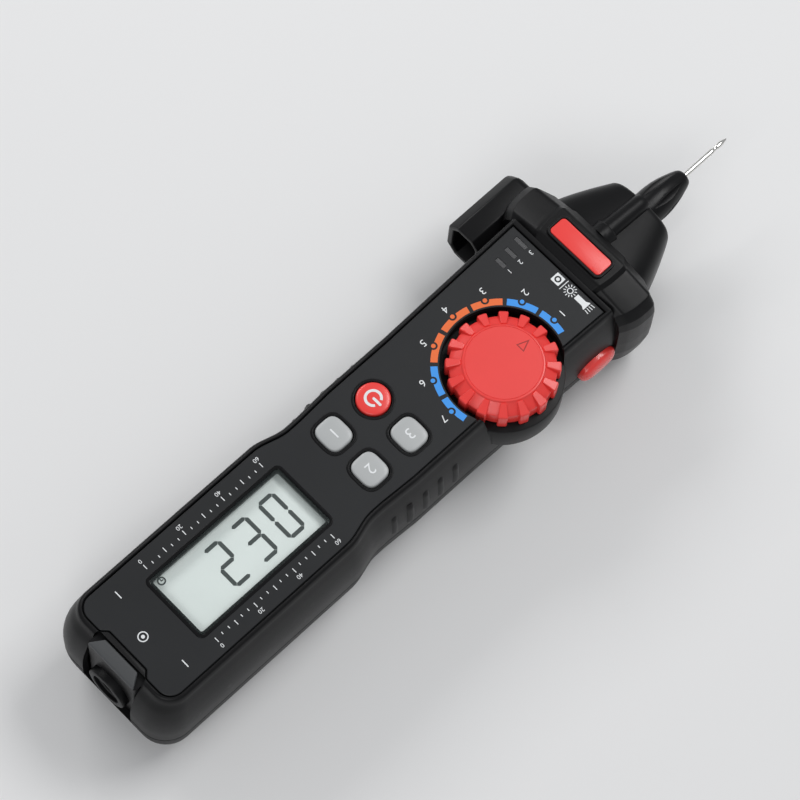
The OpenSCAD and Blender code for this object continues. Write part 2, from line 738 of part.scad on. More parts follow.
switch_w = 5;
plunger_l = 0.9;
button_flange = 0.8;
button_in_x = button_wall_x - wall - 3 * fit - button_flange;
module side_button() {
    top = button_wall_x + button_up;
    color([0.85, 0.15, 0.13]) union() {
        button_form([[0, button_in_x], [0, top - button_up * 0.5],
            [-button_up * 0.12, top - button_up * 0.2], [-button_up * 0.5, top]]);
        button_form([[button_flange, button_in_x], [button_flange, button_in_x + button_flange]]);
    }
}

module side_switch() {
    end = button_in_x - button_travel - gap;
    color([0.15, 0.15, 0.16]) union() {
        block(switch_w, switch_w, board_z - button_h + switch_w / 2,
            end - plunger_l - switch_w / 2, button_y, button_h - switch_w / 2);
        translate([end - plunger_l - gap, button_y, button_h]) rotate([0, 90, 0])
            cylinder(r = switch_w / 4, h = plunger_l + gap);
    }
}

lamp_t = 0.8;
module indicator_lights() {
    color([0.95, 0.95, 0.85])
        for (b = lamp_bars) block(b[2] * 0.6, lamp_l, lamp_t, b[0], b[1], board_h);
}

module indicator_windows() {
    color([0.5, 0.5, 0.5, 0.6])
        for (b = lamp_bars) block(b[2], lamp_l, case_h - board_h - lamp_t - gap, b[0], b[1],
            board_h + lamp_t);
}

// The collar's cross-section, as shares of its half width and its height, right side
collar_section_shares = [[0.55, 0], [0.84, 0.08], [0.95, 0.2], [0.995, 0.38], [1, 0.55],
    [0.992, 0.78], [0.965, 0.88], [0.88, 0.955], [0.62, 0.993], [0.44, 1]];
// Each station: share of the collar's length, share of its half width, drop of its top as a
// share of its height
collar_plan_shares = [[0, 0.9, 0.03], [0.1, 0.935, 0.01], [0.22, 0.965, 0], [0.55, 1, 0],
    [0.8, 0.985, 0.008], [0.92, 0.9, 0.03], [1, 0.78, 0.07]];
function collar_ring(s) = let (w = collar_x * s[1], h = (case_h + collar_up) * (1 - s[2]),
    low = case_h * (s[1] < 0.9 ? s[2] : 0),
    right = [for (p = collar_section_shares) [w * p[0], low + (h - low) * p[1]]])
    station(concat(right, mirrored(right)), collar_y + collar_l * s[0]);

module head_collar() {
    color([0.08, 0.08, 0.09]) difference() {
        loft([for (s = collar_plan_shares) collar_ring(s)], true);
        case_form(-over, case_h + rim_up + gap / 2, -gap / 2);
        holder_form(gap / 2);
        translate([-nose_base_x + wall, collar_y, axis_h - nose_base_z + 2 * wall])
            cube([2 * (nose_base_x - wall), collar_l + over, 2 * (nose_base_z - 2 * wall)]);
    }
}

// The nose's cross-section at a share of its length, drawn in by a wall
nose_square = 3.6;
nose_crown = 1.25;
function nose_ring(s, inset = 0, y = 0) = let (
    w = nose_base_x + (nose_end_x - nose_base_x) * pow(s, nose_crown) - inset,
    h = nose_base_z + (nose_end_z - nose_base_z) * s - inset)
    [for (p = squircle(2 * w, 2 * h, nose_square, 32)) [p[0], y, axis_h + p[1]]];
module nose_form(inset, over_y) {
    shares = [0, 0.3, 0.6, 0.85, 1];
    loft([for (s = shares) nose_ring(s, inset, nose_y + nose_l * s
        + (s == 0 ? -over_y : (s == 1 ? over_y : 0)))], true);
}

spigot_r = 3.8;
flange_r = 5.2;
nose_end_wall = 3.6;
module nose_body() {
    difference() {
        union() {
            nose_form(0, 0);
            translate([0, nose_y, barrel_z + barrel_rise]) rotate([-90 - barrel_tilt, 0, 0])
                cylinder(r1 = barrel_r * 1.3, r2 = barrel_r, h = nose_l / cos(barrel_tilt));
            bar(barrel_r * 1.7, nose_l * 0.2, 0, nose_y, barrel_z + barrel_rise - barrel_r * 0.5);
        }
        intersection() {
            nose_form(wall, over);
            translate([-nose_base_x, nose_y - over, 0])
                cube([2 * nose_base_x, nose_l + over - nose_end_wall, case_h]);
        }
        bar(spigot_r + gap / 2, nose_l, 0, sleeve_y - nose_l + over, axis_h);
        bar(flange_r + gap / 2, wall + gap, 0, sleeve_y - nose_end_wall + wall / 2, axis_h);
        bar(lamp_r + gap / 2, nose_l, 0, sleeve_y - lamp_l_body, barrel_z);
    }
}

barrel_z = axis_h + nose_end_z - barrel_r * 0.1;
barrel_rise = (nose_base_z - nose_end_z) * 0.7;
barrel_tilt = atan(barrel_rise / nose_l);
module nose_front() {
    color([0.08, 0.08, 0.09]) intersection() {
        nose_body();
        translate([-collar_x, nose_y, axis_h]) cube([2 * collar_x, nose_l, case_h]);
    }
}

module nose_rear() {
    color([0.08, 0.08, 0.09]) intersection() {
        nose_body();
        translate([-collar_x, nose_y, 0]) cube([2 * collar_x, nose_l, axis_h]);
    }
}

module probe_sleeve() {
    root = nose_end_wall + wall;
    color([0.07, 0.07, 0.08]) difference() {
        translate([0, sleeve_y, axis_h]) rotate([-90, 0, 0]) rotate_extrude() polygon([
            [needle_root_r, -root], [spigot_r, -root], [spigot_r, wall / 2 - nose_end_wall],
            [flange_r, wall / 2 - nose_end_wall], [flange_r, 1.5 * wall - nose_end_wall],
            [spigot_r, 1.5 * wall - nose_end_wall], [spigot_r, 0], [sleeve_r, 0],
            [sleeve_r, sleeve_l * 0.45], [sleeve_r * 0.93, sleeve_l * 0.6],
            [sleeve_r * 0.72, sleeve_l * 0.8], [sleeve_tip_r * 1.3, sleeve_l * 0.94],
            [sleeve_tip_r, sleeve_l * 0.985], [sleeve_tip_r * 0.8, sleeve_l],
            [needle_root_r, sleeve_l]]);
        for (i = [0 : 5]) translate([0, sleeve_y, axis_h]) rotate([0, i * 60 + 30, 0])
            translate([0, sleeve_l * 0.62, sleeve_r * 1.32]) rotate([-106, 0, 0])
                translate([0, 0, -sleeve_l * 0.35]) cylinder(r = sleeve_r * 0.5,
                    h = sleeve_l * 0.75, $fn = 24);
    }
}

needle_root = 22;
module probe_needle() {
    neck_at = needle_l * 0.68;
    neck_l = needle_r * 1.2;
    start = needle_y - sleeve_l - needle_root;
    color([0.8, 0.8, 0.8]) translate([0, start, axis_h]) rotate([-90, 0, 0]) rotate_extrude()
        polygon([[0, 0], [needle_root_r, 0], [needle_root_r, needle_y - start],
            [needle_r, needle_y - start], [needle_r, neck_at + needle_y - start],
            [needle_r * 0.75, neck_at + needle_y - start + neck_l * 0.3],
            [needle_r * 0.75, neck_at + needle_y - start + neck_l],
            [needle_r, neck_at + needle_y - start + neck_l * 1.3],
            [needle_r, tip_y - start - needle_r * 3], [needle_r * 0.15, tip_y - start],
            [0, tip_y - start]]);
}

terminal_w = 4.4;
terminal_l = 8;
strap_t = 0.5;
strap_w = 3;
terminal_y = sleeve_y - needle_root + terminal_l / 2;
module probe_terminal() {
    color([0.8, 0.65, 0.3]) difference() {
        block(terminal_w, terminal_l, terminal_w, 0, terminal_y, axis_h - terminal_w / 2);
        bar(needle_root_r, terminal_l + 2 * over, 0, terminal_y - terminal_l / 2 - over, axis_h);
    }
}

module probe_strap() {
    back = board_y1 - terminal_w;
    reach = terminal_y - terminal_l / 2 - back;
    color([0.8, 0.65, 0.3]) union() {
        block(strap_w, reach, strap_t, 0, back + reach / 2, board_z - strap_t);
        block(strap_w, strap_t, board_z - axis_h + terminal_w / 2, 0,
            terminal_y - terminal_l / 2 - strap_t / 2, axis_h - terminal_w / 2);
    }
}

lamp_l_body = 5.4;
module torch_lamp() {
    color([0.9, 0.92, 0.95, 0.8]) union() {
        bar(lamp_r, lamp_l_body - lamp_r, 0, sleeve_y - lamp_l_body, barrel_z);
        translate([0, sleeve_y - lamp_r, barrel_z]) sphere(r = lamp_r, $fn = 32);
    }
}

plate_t = 0.4;
module sensing_plate() {
    start = board_y1 - strap_w;
    wide_y = nose_y + wall;
    wide_l = nose_l - nose_end_wall - 2 * wall;
    color([0.8, 0.5, 0.3]) union() {
        block(strap_w, wide_y - start + over, plate_t, 0, (wide_y + start + over) / 2, board_h);
        block(nose_end_x, wide_l, plate_t, 0, wide_y + wide_l / 2, board_h);
    }
}

label_z = case_h + collar_up;
frame_w = 0.75;
label_y = collar_y + label_at;
module label_frame() {
    color([0.04, 0.04, 0.04]) difference() {
        plate(round_rect(label_w + 2 * frame_w, label_l + 2 * frame_w, label_r + frame_w,
            0, label_y), label_z, frame_w);
        plate(round_rect(label_w + gap, label_l + gap, label_r, 0, label_y), label_z - over,
            frame_w + 2 * over);
    }
}

module label_plate() {
    color([0.85, 0.2, 0.17]) plate(round_rect(label_w, label_l, label_r, 0, label_y), label_z,
        frame_w * 0.9);
}

// The holder stands on the case's left wall, under the collar's shoulder
holder_x = holder_w / 2 - collar_x - holder_out;
holder_end_y = collar_y + collar_l - wall / 2;
holder_y = holder_end_y - holder_l;
holder_r = holder_w * 0.28;
holder_edge_r = holder_w * 0.09;
module holder_form(grow) {
    w = holder_w / 2;
    h = holder_h / 2;
    intersection() {
        translate([holder_x, holder_end_y + grow, axis_h]) rotate([90, 0, 0])
            linear_extrude(holder_l + 2 * grow) polygon(concat(
                arc(w - holder_edge_r + grow, holder_edge_r - h - grow, holder_edge_r, -90, 0),
                [[w + grow, h + grow]],
                arc(holder_r - w - grow, h - holder_r + grow, holder_r, 90, 180),
                arc(holder_r - w - grow, holder_r - h - grow, holder_r, 180, 270)));
        plate([[holder_x + w + grow, holder_y - grow], [holder_x + w + grow, holder_end_y + grow],
            [holder_x - w * 0.3, holder_end_y + grow], [holder_x - w - grow, holder_end_y - w * 0.8],
            [holder_x - w - grow, holder_y + w * 0.3], [holder_x - w * 0.7, holder_y - grow]],
            0, case_h);
    }
}

module probe_holder() {
    low = axis_h - holder_h / 2 + holder_wall;
    open_h = holder_h - 2 * holder_wall;
    color([0.08, 0.08, 0.09]) difference() {
        holder_form(0);
        plate(round_rect(holder_w - 2 * holder_wall, pocket_d + over, wall / 2, holder_x,
            holder_y + (pocket_d - over) / 2), low, open_h);
        translate([holder_x, holder_y - over, low])
            cube([holder_w, collar_y - wall - holder_y + over, open_h]);
        case_form(0, case_h, -gap / 2);
    }
}

module jack_block() {
    color([0.07, 0.07, 0.08]) difference() {
        union() {
            translate([-block_x, block_end_y, axis_h - boss_r - wall + gap])
                cube([2 * block_x, block_y - block_end_y - gap,
                    case_h - insert_t - axis_h + boss_r + wall - gap]);
            bar(boss_r, boss_up + gap, 0, tail_y, axis_h);
        }
        bar(socket_r + socket_wall, 2 * socket_l, 0, tail_y - over, axis_h);
        bar(boss_r - wall, wall / 2 + over, 0, tail_y - over, axis_h);
    }
}

insert_t = 1.2;
module tail_insert() {
    far_y = block_y - 4 * gap;
    color([0.33, 0.335, 0.34]) plate([[block_x - gap, block_end_y], [block_x * 0.7, far_y],
        [-block_x * 0.7, far_y], [gap - block_x, block_end_y]], case_h - insert_t, insert_t);
}

module com_socket() {
    color([0.85, 0.7, 0.35]) difference() {
        bar(socket_r + socket_wall, socket_l, 0, tail_y + wall, axis_h);
        bar(socket_r, socket_l + 2 * over, 0, tail_y + wall - over, axis_h);
    }
}

module com_strap() {
    start = tail_y + wall + socket_l;
    reach = board_y0 - start + strap_w;
    color([0.8, 0.65, 0.3]) union() {
        block(strap_w, strap_t, board_z - axis_h - socket_r, 0, start + strap_t / 2,
            axis_h + socket_r);
        block(strap_w, reach, strap_t, 0, start + reach / 2, board_z - strap_t);
    }
}

// The battery bay in the rear shell
contact_t = 0.4;
cell_gap = 0.4;
cell_x = cell_r + cell_gap;
cell_z = cover_t + gap + cell_gap + cell_r;
bay_x = 2 * cell_x;
bay_out_l = cell_l + spring_l + 2 * contact_t;
bay_mid_y = tail_y + bay_start + bay_out_l / 2;
bay_top = cell_z + cell_r + cell_gap + wall;
cover_screw_y = bay_mid_y + bay_out_l / 2 + wall + post_r * 0.8;
function cover_outline(grow) = let (end = cover_screw_y + post_r + 2 * wall + grow,
    start = bay_mid_y - bay_out_l / 2 - wall / 2 - grow, x = bay_x + wall / 2 + grow)
    round_rect(2 * x, end - start, wall, 0, (start + end) / 2);

// The left cell's nub points to the head, the right one's to the tail
module cells(side) {
    nub_r = 1.9;
    nub_l = 1;
    start = bay_mid_y + side * bay_out_l / 2 - side * contact_t;
    translate([side * cell_x, start, cell_z]) rotate([side * 90, 0, 0]) union() {
        cylinder(r = nub_r, h = nub_l + gap);
        translate([0, 0, nub_l]) cylinder(r = cell_r, h = cell_l - nub_l);
    }
}
module batteries() {
    color([0.75, 0.5, 0.25]) for (side = [-1, 1]) cells(side);
}

// A battery spring: the middle of the wire at a share of its length, and its ring of points
spring_cone = 0.75;
function spring_middle(s) = let (a = 360 * spring_turns * s,
    r = cell_r * 0.62 * (1 - (1 - spring_cone) * s))
    [r * cos(a), r * sin(a), spring_wire / 2 + (spring_l - spring_wire) * s];
function spring_ring(s) = let (a = 360 * spring_turns * s, c = spring_middle(s),
    w = spring_wire / 2)
    [for (i = [0 : 5]) let (t = -360 * i / 6)
        c + [w * cos(t) * cos(a), w * cos(t) * sin(a), w * sin(t)]];
spring_points = [for (i = [0 : 8 * spring_turns]) spring_middle(i / (8 * spring_turns))];
echo(least_spring_gap = min([for (i = [0 : 8 * (spring_turns - 1)])
    norm(spring_points[i + 8] - spring_points[i]) - spring_wire]));
module battery_springs() {
    rings = 8 * spring_turns;
    color([0.75, 0.75, 0.77]) for (side = [-1, 1])
        translate([side * cell_x, bay_mid_y - side * (bay_out_l / 2 - contact_t), cell_z])
            rotate([-side * 90, 0, 0]) loft([for (i = [0 : rings]) spring_ring(i / rings)]);
}

module battery_contacts() {
    contact_w = 1.5 * cell_r;
    end = bay_out_l / 2 - contact_t / 2;
    color([0.75, 0.75, 0.77]) {
        block(2 * cell_x + contact_w, contact_t, contact_w, 0, bay_mid_y - end,
            cell_z - contact_w / 2);
        for (side = [-1, 1]) block(contact_w, contact_t, contact_w, side * cell_x, bay_mid_y + end,
            cell_z - contact_w / 2);
    }
}

module battery_cover() {
    color([0.08, 0.08, 0.09]) difference() {
        plate(cover_outline(0), gap, cover_t);
        translate([0, cover_screw_y, gap - over]) cylinder(r = screw_r + screw_gap,
            h = cover_t + 2 * over);
        translate([0, cover_screw_y, gap - over]) cylinder(r = screw_head_r + screw_gap,
            h = over + cover_t / 2);
    }
}

module cover_screw() {
    color([0.6, 0.6, 0.62]) translate([0, cover_screw_y, gap]) difference() {
        union() {
            cylinder(r = screw_head_r, h = cover_t / 2);
            cylinder(r = screw_r, h = bay_top - wall - gap);
        }
        block(2 * screw_head_r, screw_gap * 5, cover_t / 4 + over, 0, 0, -over);
    }
}

module case_screws() {
    head_z = 2 * wall - screw_head_t;
    color([0.6, 0.6, 0.62]) for (s = screw_places) translate([s[0], s[1], head_z]) difference() {
        union() {
            cylinder(r = screw_head_r, h = screw_head_t);
            cylinder(r = screw_r, h = part_h + well_d - head_z);
        }
        cylinder(r = screw_r * 0.9, h = screw_head_t / 2, $fn = 6);
    }
}

module board_screws() {
    head_t = 1.1;
    color([0.75, 0.75, 0.77]) for (s = board_places) translate([s[0], s[1], board_z - head_t])
        union() {
            cylinder(r = board_post_r, h = head_t);
            cylinder(r = board_screw_r, h = head_t + board_t + wall);
        }
}

// What hangs under the board
buzzer_r = 5.5;
buzzer_h = 4.5;
buzzer_x = -6.5;
module buzzer() {
    color([0.08, 0.08, 0.08]) translate([buzzer_x, dial_y - buzzer_r, board_z - buzzer_h])
        difference() {
            cylinder(r = buzzer_r, h = buzzer_h);
            translate([0, 0, -over]) cylinder(r = buzzer_r / 5, h = over + buzzer_h / 3);
        }
}

fuse_r = 2.6;
fuse_l = 20;
fuse_x = 8.5;
fuse_y = key_y1 + key_row_step / 2;
fuse_z = board_z - 2 * fuse_r;
module fuse() {
    cap_l = fuse_l / 4;
    color([0.9, 0.9, 0.88]) union() {
        bar(fuse_r * 0.92, fuse_l, fuse_x, fuse_y - fuse_l / 2, fuse_z);
        for (side = [-1, 1]) bar(fuse_r, cap_l, fuse_x, fuse_y + side * (fuse_l - cap_l) / 2
            - cap_l / 2, fuse_z);
    }
}

module fuse_clips() {
    clip_l = fuse_l / 5;
    color([0.75, 0.65, 0.4]) for (side = [-1, 1]) difference() {
        block(2 * fuse_r + 2 * strap_t, clip_l, 3 * fuse_r, fuse_x,
            fuse_y + side * (fuse_l - clip_l) / 2, board_z - 3 * fuse_r);
        bar(fuse_r, fuse_l + 2 * over, fuse_x, fuse_y - fuse_l / 2 - over, fuse_z);
        block(fuse_r, fuse_l + 2 * over, 3 * fuse_r, fuse_x, fuse_y, fuse_z - 3 * fuse_r);
    }
}

cap_r = 2.5;
cap_h = 6;
module capacitors() {
    color([0.15, 0.2, 0.4]) for (i = [0, 1]) translate([cap_r * (2.6 * i - 3.6), key_y1 + cap_r * 2,
        board_z - cap_h]) cylinder(r = cap_r, h = cap_h);
}

front_shell();
rear_shell();
face_sheet();
display_bezel();
display_window();
display_glass();
backlight();
display_frame();
zebra_strips();
main_board();
main_chip();
key_domes();
key_power();
key_left();
key_right_upper();
key_right_lower();
dial_knob();
dial_screw();
switch_rotor();
wiper_contacts();
detent_balls();
detent_springs();
detent_ring();
side_button();
side_switch();
indicator_lights();
indicator_windows();
head_collar();
nose_front();
nose_rear();
probe_sleeve();
probe_needle();
probe_terminal();
probe_strap();
torch_lamp();
sensing_plate();
label_frame();
label_plate();
probe_holder();
jack_block();
tail_insert();
com_socket();
com_strap();
batteries();
battery_springs();
battery_contacts();
battery_cover();
cover_screw();
case_screws();
board_screws();
buzzer();
fuse();
fuse_clips();
capacitors();
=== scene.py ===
"""Dresses a pen multimeter: moulded shells, a toothed dial, keys, prints, a display and a
needle probe.

Shape functions work in millimetres, and make_mesh turns them into metres.
"""
import json
import math

import bmesh
import bpy
import numpy as np
from mathutils import Matrix, Vector
from mathutils.geometry import tessellate_polygon


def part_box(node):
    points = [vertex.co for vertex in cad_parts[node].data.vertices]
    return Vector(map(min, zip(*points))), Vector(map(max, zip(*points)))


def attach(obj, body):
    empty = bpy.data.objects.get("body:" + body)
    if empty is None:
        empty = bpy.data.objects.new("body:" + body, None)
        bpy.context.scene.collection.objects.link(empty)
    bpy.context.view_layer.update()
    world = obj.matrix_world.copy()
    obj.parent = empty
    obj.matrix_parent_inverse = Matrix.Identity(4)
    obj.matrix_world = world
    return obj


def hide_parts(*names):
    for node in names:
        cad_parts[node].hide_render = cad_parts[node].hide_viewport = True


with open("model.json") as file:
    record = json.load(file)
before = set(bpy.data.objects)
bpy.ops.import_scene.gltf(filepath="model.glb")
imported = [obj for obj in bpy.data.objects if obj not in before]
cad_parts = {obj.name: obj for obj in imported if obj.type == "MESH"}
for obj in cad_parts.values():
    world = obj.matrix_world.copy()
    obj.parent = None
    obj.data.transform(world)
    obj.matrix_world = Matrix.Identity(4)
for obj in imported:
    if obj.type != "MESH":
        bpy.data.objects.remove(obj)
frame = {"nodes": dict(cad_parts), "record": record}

bl_info = {
    "name": "Pen multimeter dresser",
    "version": (1, 0, 0),
    "blender": (4, 5, 0),
    "location": "View3D > Sidebar > Meter",
    "description": "Builds the visible pieces and finishes of a pen multimeter round its frame",
    "category": "Add Mesh",
}

MM = 0.001


def corners(node):
    """The lowest and highest corner of a frame node, in millimetres."""
    low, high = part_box(node)
    return np.array(low) / MM, np.array(high) / MM


def middle(node):
    """The middle of a frame node, in millimetres."""
    low, high = corners(node)
    return (low + high) / 2


# Places read from the frame, in millimetres
SHEET_LOW, SHEET_HIGH = corners("face_sheet")
WINDOW_LOW, WINDOW_HIGH = corners("display_window")
COLLAR_LOW, COLLAR_HIGH = corners("head_collar")
NOSE_LOW, NOSE_HIGH = corners("nose_front")
LABEL_LOW, LABEL_HIGH = corners("label_plate")
RIM_LOW, RIM_HIGH = corners("label_frame")
HOLDER_LOW, HOLDER_HIGH = corners("probe_holder")
BUTTON_LOW, BUTTON_HIGH = corners("side_button")
INSERT_LOW, INSERT_HIGH = corners("tail_insert")
COVER_LOW, COVER_HIGH = corners("battery_cover")
KEYS = {name: middle(name) for name in ("key_left", "key_right_upper", "key_right_lower",
                                        "key_power")}
DIAL = next(np.array(joint["pos_m"]) / MM for joint in frame["record"]["behaviour"]["joints"]
            if joint["name"] == "dial_turn")

TAIL_Y = corners("front_shell")[0][1]
JACK_Y = corners("jack_block")[0][1]
WINDOW_Y = (WINDOW_LOW[1] + WINDOW_HIGH[1]) / 2
WINDOW_END_Y = WINDOW_HIGH[1]
COLLAR_Y = COLLAR_LOW[1]
SLEEVE_Y = NOSE_HIGH[1]
NEEDLE_Y = corners("probe_sleeve")[1][1]
NEEDLE_TIP_Y = corners("probe_needle")[1][1]
SHEET_Z, SHEET_TOP = SHEET_LOW[2], SHEET_HIGH[2]
SEAM_Z = corners("rear_shell")[1][2]
AXIS_Z = middle("com_socket")[2]
GLASS_TOP = corners("display_glass")[1][2]
KNOB_TOP = corners("dial_knob")[1][2]

# Sizes that several pieces share, in millimetres
THROUGH = 30, 38              # heights of a cutter that passes right through the front's top
NOTCH_HALF, NOTCH_DEEP = 8.6, 1.7     # the sheet's notch at the tail
BLOCK_END_Y = SHEET_LOW[1] + NOTCH_DEEP - 1.85   # head side of the socket's block
SHEET_END_Y = COLLAR_Y - 1.75          # head end of the sheet, with the rim past it
WAIST, GRIP, SHOULDER = 14.8, 15.4, 16.6         # half widths of the sheet along the case
SEAM_IN, SEAM_GAP = 0.25, 0.02         # how far the halves draw in and part at the seam
RIM_ROUND = 0.4               # radius of the rim's edges
BEND_R = 14                   # radius of the bends along the case's sides
BUTTON_SIZE = 12.4, BUTTON_HIGH[2] - BUTTON_LOW[2] - 1.6, 2.25   # length, height and power
BUTTON_PLAY = 0.25            # gap round the side button
KEY_SIZE = 8.7, 7.8, 3.4      # width, length and superellipse power of a grey key
POWER_KEY_R = 4.55
SCREW_R = 2.45                # radius of the case's screw holes
SEGMENT_Z, SEGMENT_UP = 33.5, 0.04     # height and thickness of the display's segments


def size_field(name, default, low, high, description):
    """A size in millimetres that a user may change."""
    return bpy.props.FloatProperty(name=name, default=default, min=low, max=high,
                                   description=description)


def colour_field(name, colour, description):
    """A colour that a user may change, scene linear."""
    return bpy.props.FloatVectorProperty(name=name, subtype="COLOR", size=4,
                                         default=(*colour, 1), description=description)


class MeterSizes(bpy.types.PropertyGroup):
    """Small sizes of the dressing, in millimetres, that the frame doesn't hold."""
    rim_w: size_field("Rim width", 1.5, 1, 2, "Width of the raised rim round the face sheet")
    rim_gap: size_field("Rim gap", 0.35, 0.2, 0.5, "Groove between the face sheet and the rim")
    side_bulge: size_field("Side bulge", 2.4, 1.9, 2.7, "Swell of the side walls past the rim")
    tail_bulge: size_field("Tail bulge", 4.5, 3.5, 5, "Swell of the tail's corners past the rim")
    corner_r: size_field("Tail corner", 6, 5, 7, "Radius of the tail's corners at the rim")
    wall: size_field("Wall", 1.8, 1.5, 2, "Thickness of the shells")
    well_r: size_field("Well radius", 16.3, 16, 16.6, "Radius of the dial's well")
    bulge_r: size_field("Bulge radius", 16.6, 16.3, 17, "Radius of the bulge under the dial")
    print_up: size_field("Print height", 0.03, 0.01, 0.06, "Thickness of the printed marks")


class MeterColours(bpy.types.PropertyGroup):
    """Colours of the finishes, scene linear."""
    case: colour_field("Case", (0.0045, 0.0045, 0.005), "Black moulded plastic")
    sheet: colour_field("Face sheet", (0.024, 0.025, 0.0265), "Dark grey face sheet")
    red: colour_field("Red", (0.9, 0.052, 0.045), "Red dial, power key, button and label")
    key: colour_field("Grey key", (0.47, 0.485, 0.485), "Light grey keys")
    orange: colour_field("Orange print", (0.9, 0.17, 0.035), "Orange marks round the dial")
    blue: colour_field("Blue print", (0.045, 0.33, 0.9), "Blue marks round the dial")
    white: colour_field("White print", (0.85, 0.87, 0.88), "White marks and numerals")
    lcd: colour_field("Display", (0.88, 0.95, 0.92), "Pale ground of the display")
    segment: colour_field("Segments", (0.035, 0.042, 0.042), "Dark segments of the display")


def sizes():
    """The sizes in use."""
    return bpy.context.scene.meter_sizes


def colours():
    """The colours in use."""
    return bpy.context.scene.meter_colours


# Shapes

def smooth_rows(rows, at):
    """Values of a table at places: between two rows, the cubic with their heights and slopes. A
    row's slope is the mean of the chords beside it, or 0 where they change sign."""
    x, y = np.asarray(rows, float).T
    chord = np.diff(y) / np.diff(x)
    slope = np.concatenate([[chord[0]], (chord[1:] + chord[:-1]) / 2, [chord[-1]]])
    slope[np.concatenate([[False], chord[1:] * chord[:-1] <= 0, [False]])] = 0
    at = np.clip(np.asarray(at, float), x[0], x[-1])
    i = np.clip(np.searchsorted(x, at) - 1, 0, len(x) - 2)
    h = x[i + 1] - x[i]
    t = (at - x[i]) / h
    return ((2 * t ** 3 - 3 * t ** 2 + 1) * y[i] + (t ** 3 - 2 * t ** 2 + t) * h * slope[i]
            + (3 * t ** 2 - 2 * t ** 3) * y[i + 1] + (t ** 3 - t ** 2) * h * slope[i + 1])


def arc(x, y, r, a, b, n):
    """Points on a circle about x, y from angle a to b in degrees: the centre plus the radius
    times the cosine and the sine."""
    t = np.radians(np.linspace(a, b, n + 1))
    return np.column_stack([x + r * np.cos(t), y + r * np.sin(t)])


def circle(x, y, r, n):
    """A whole arc without its doubled last point."""
    return arc(x, y, r, 0, 360, n)[:-1]


def ring_arc(r_in, r_out, a, b, n, x=0, y=0):
    """A piece of a flat ring between two angles: an outer arc out and an inner arc back."""
    return np.vstack([arc(x, y, r_out, a, b, n), arc(x, y, r_in, b, a, n)])


def fillet(points, radii, n):
    """A polygon with each corner turned into an arc: the arc touches both edges at
    r * tan(turn / 2) from the corner."""
    points = np.asarray(points, float)
    out = []
    for i, p in enumerate(points):
        a, b = points[i - 1], points[(i + 1) % len(points)]
        u, v = (a - p) / np.linalg.norm(a - p), (b - p) / np.linalg.norm(b - p)
        turn = math.pi - math.acos(np.clip(u @ v, -1, 1))
        if radii[i] <= 0 or turn < 0.01:
            out.append(p[None])
            continue
        reach = radii[i] * math.tan(turn / 2)
        start, end = p + u * reach, p + v * reach
        centre = p + (u + v) / np.linalg.norm(u + v) * radii[i] / math.cos(turn / 2)
        a0 = math.atan2(*(start - centre)[::-1])
        a1 = math.atan2(*(end - centre)[::-1])
        a1 = a0 + (a1 - a0 + math.pi) % (2 * math.pi) - math.pi
        t = np.linspace(a0, a1, n + 1)
        out.append(centre + radii[i] * np.column_stack([np.cos(t), np.sin(t)]))
    return np.vstack(out)


def round_rect(w, long, r, x=0, y=0, n=8):
    """A rectangle about x, y whose corners are arcs."""
    a, b = w / 2, long / 2
    return fillet([[x + a, y - b], [x + a, y + b], [x - a, y + b], [x - a, y - b]], [r] * 4, n)


def squircle(w, long, power, n):
    """A superellipse: each coordinate is the half size times the angle's cosine or sine, raised
    to 2 / power with its sign kept."""
    t = np.radians(np.arange(n) * 360 / n)
    c, s = np.cos(t), np.sin(t)
    return np.column_stack([w / 2 * np.sign(c) * np.abs(c) ** (2 / power),
                            long / 2 * np.sign(s) * np.abs(s) ** (2 / power)])


def octagon(w, long, corner, inset):
    """A rectangle drawn in by an inset, with its corners cut at 45 degrees and a little round."""
    a, b, cut = w / 2 - inset, long / 2 - inset, corner * 0.75
    return fillet([[a, cut - b], [a, b - cut], [a - cut, b], [cut - a, b], [-a, b - cut],
                   [-a, cut - b], [cut - a, -b], [a - cut, -b]], [min(corner * 0.3, 1)] * 8, 4)


def mirrored(right, radii, n):
    """A closed outline with round corners: its right half, then that half's mirror image back
    to the start, each corner with its radius."""
    return fillet(np.vstack([right, np.array(right)[::-1] * [-1, 1]]), radii + radii[::-1], n)


def turned(points, angle):
    """Flat points turned about the origin: cosine and sine mix their coordinates."""
    c, s = math.cos(angle), math.sin(angle)
    return points @ np.array([[c, s], [-s, c]])


def normals(outline):
    """Outward unit normals of a closed outline that runs anticlockwise: at each point, the step
    between its neighbours, turned a quarter clockwise."""
    step = np.roll(outline, -1, axis=0) - np.roll(outline, 1, axis=0)
    out = np.column_stack([step[:, 1], -step[:, 0]])
    return out / np.linalg.norm(out, axis=1)[:, None]


def surface(x, y, z):
    """Rows of points from three arrays of coordinates, spread over one grid."""
    return np.stack(np.broadcast_arrays(x, y, z), axis=-1)


def level(outline, z):
    """A flat outline lifted to a height, or to a height for each point."""
    return surface(outline[:, 0], outline[:, 1], z)


def upright(outline, y):
    """An outline in X and Z set at a place along Y."""
    return surface(outline[:, 0], y, outline[:, 1])


def lathe(profile, n):
    """A profile of radius and height turned about Z: x and y are the radius times the cosine and
    the sine, with a ring of points for each row."""
    t = np.radians(np.arange(n) * 360 / n)
    r, z = np.asarray(profile, float).T[:, :, None]
    return surface(r * np.cos(t), r * np.sin(t), z)


def along_y(points):
    """Turns a shape made about Z so that its Z runs along +Y and its Y points down."""
    return surface(points[..., 0], points[..., 2], -points[..., 1])


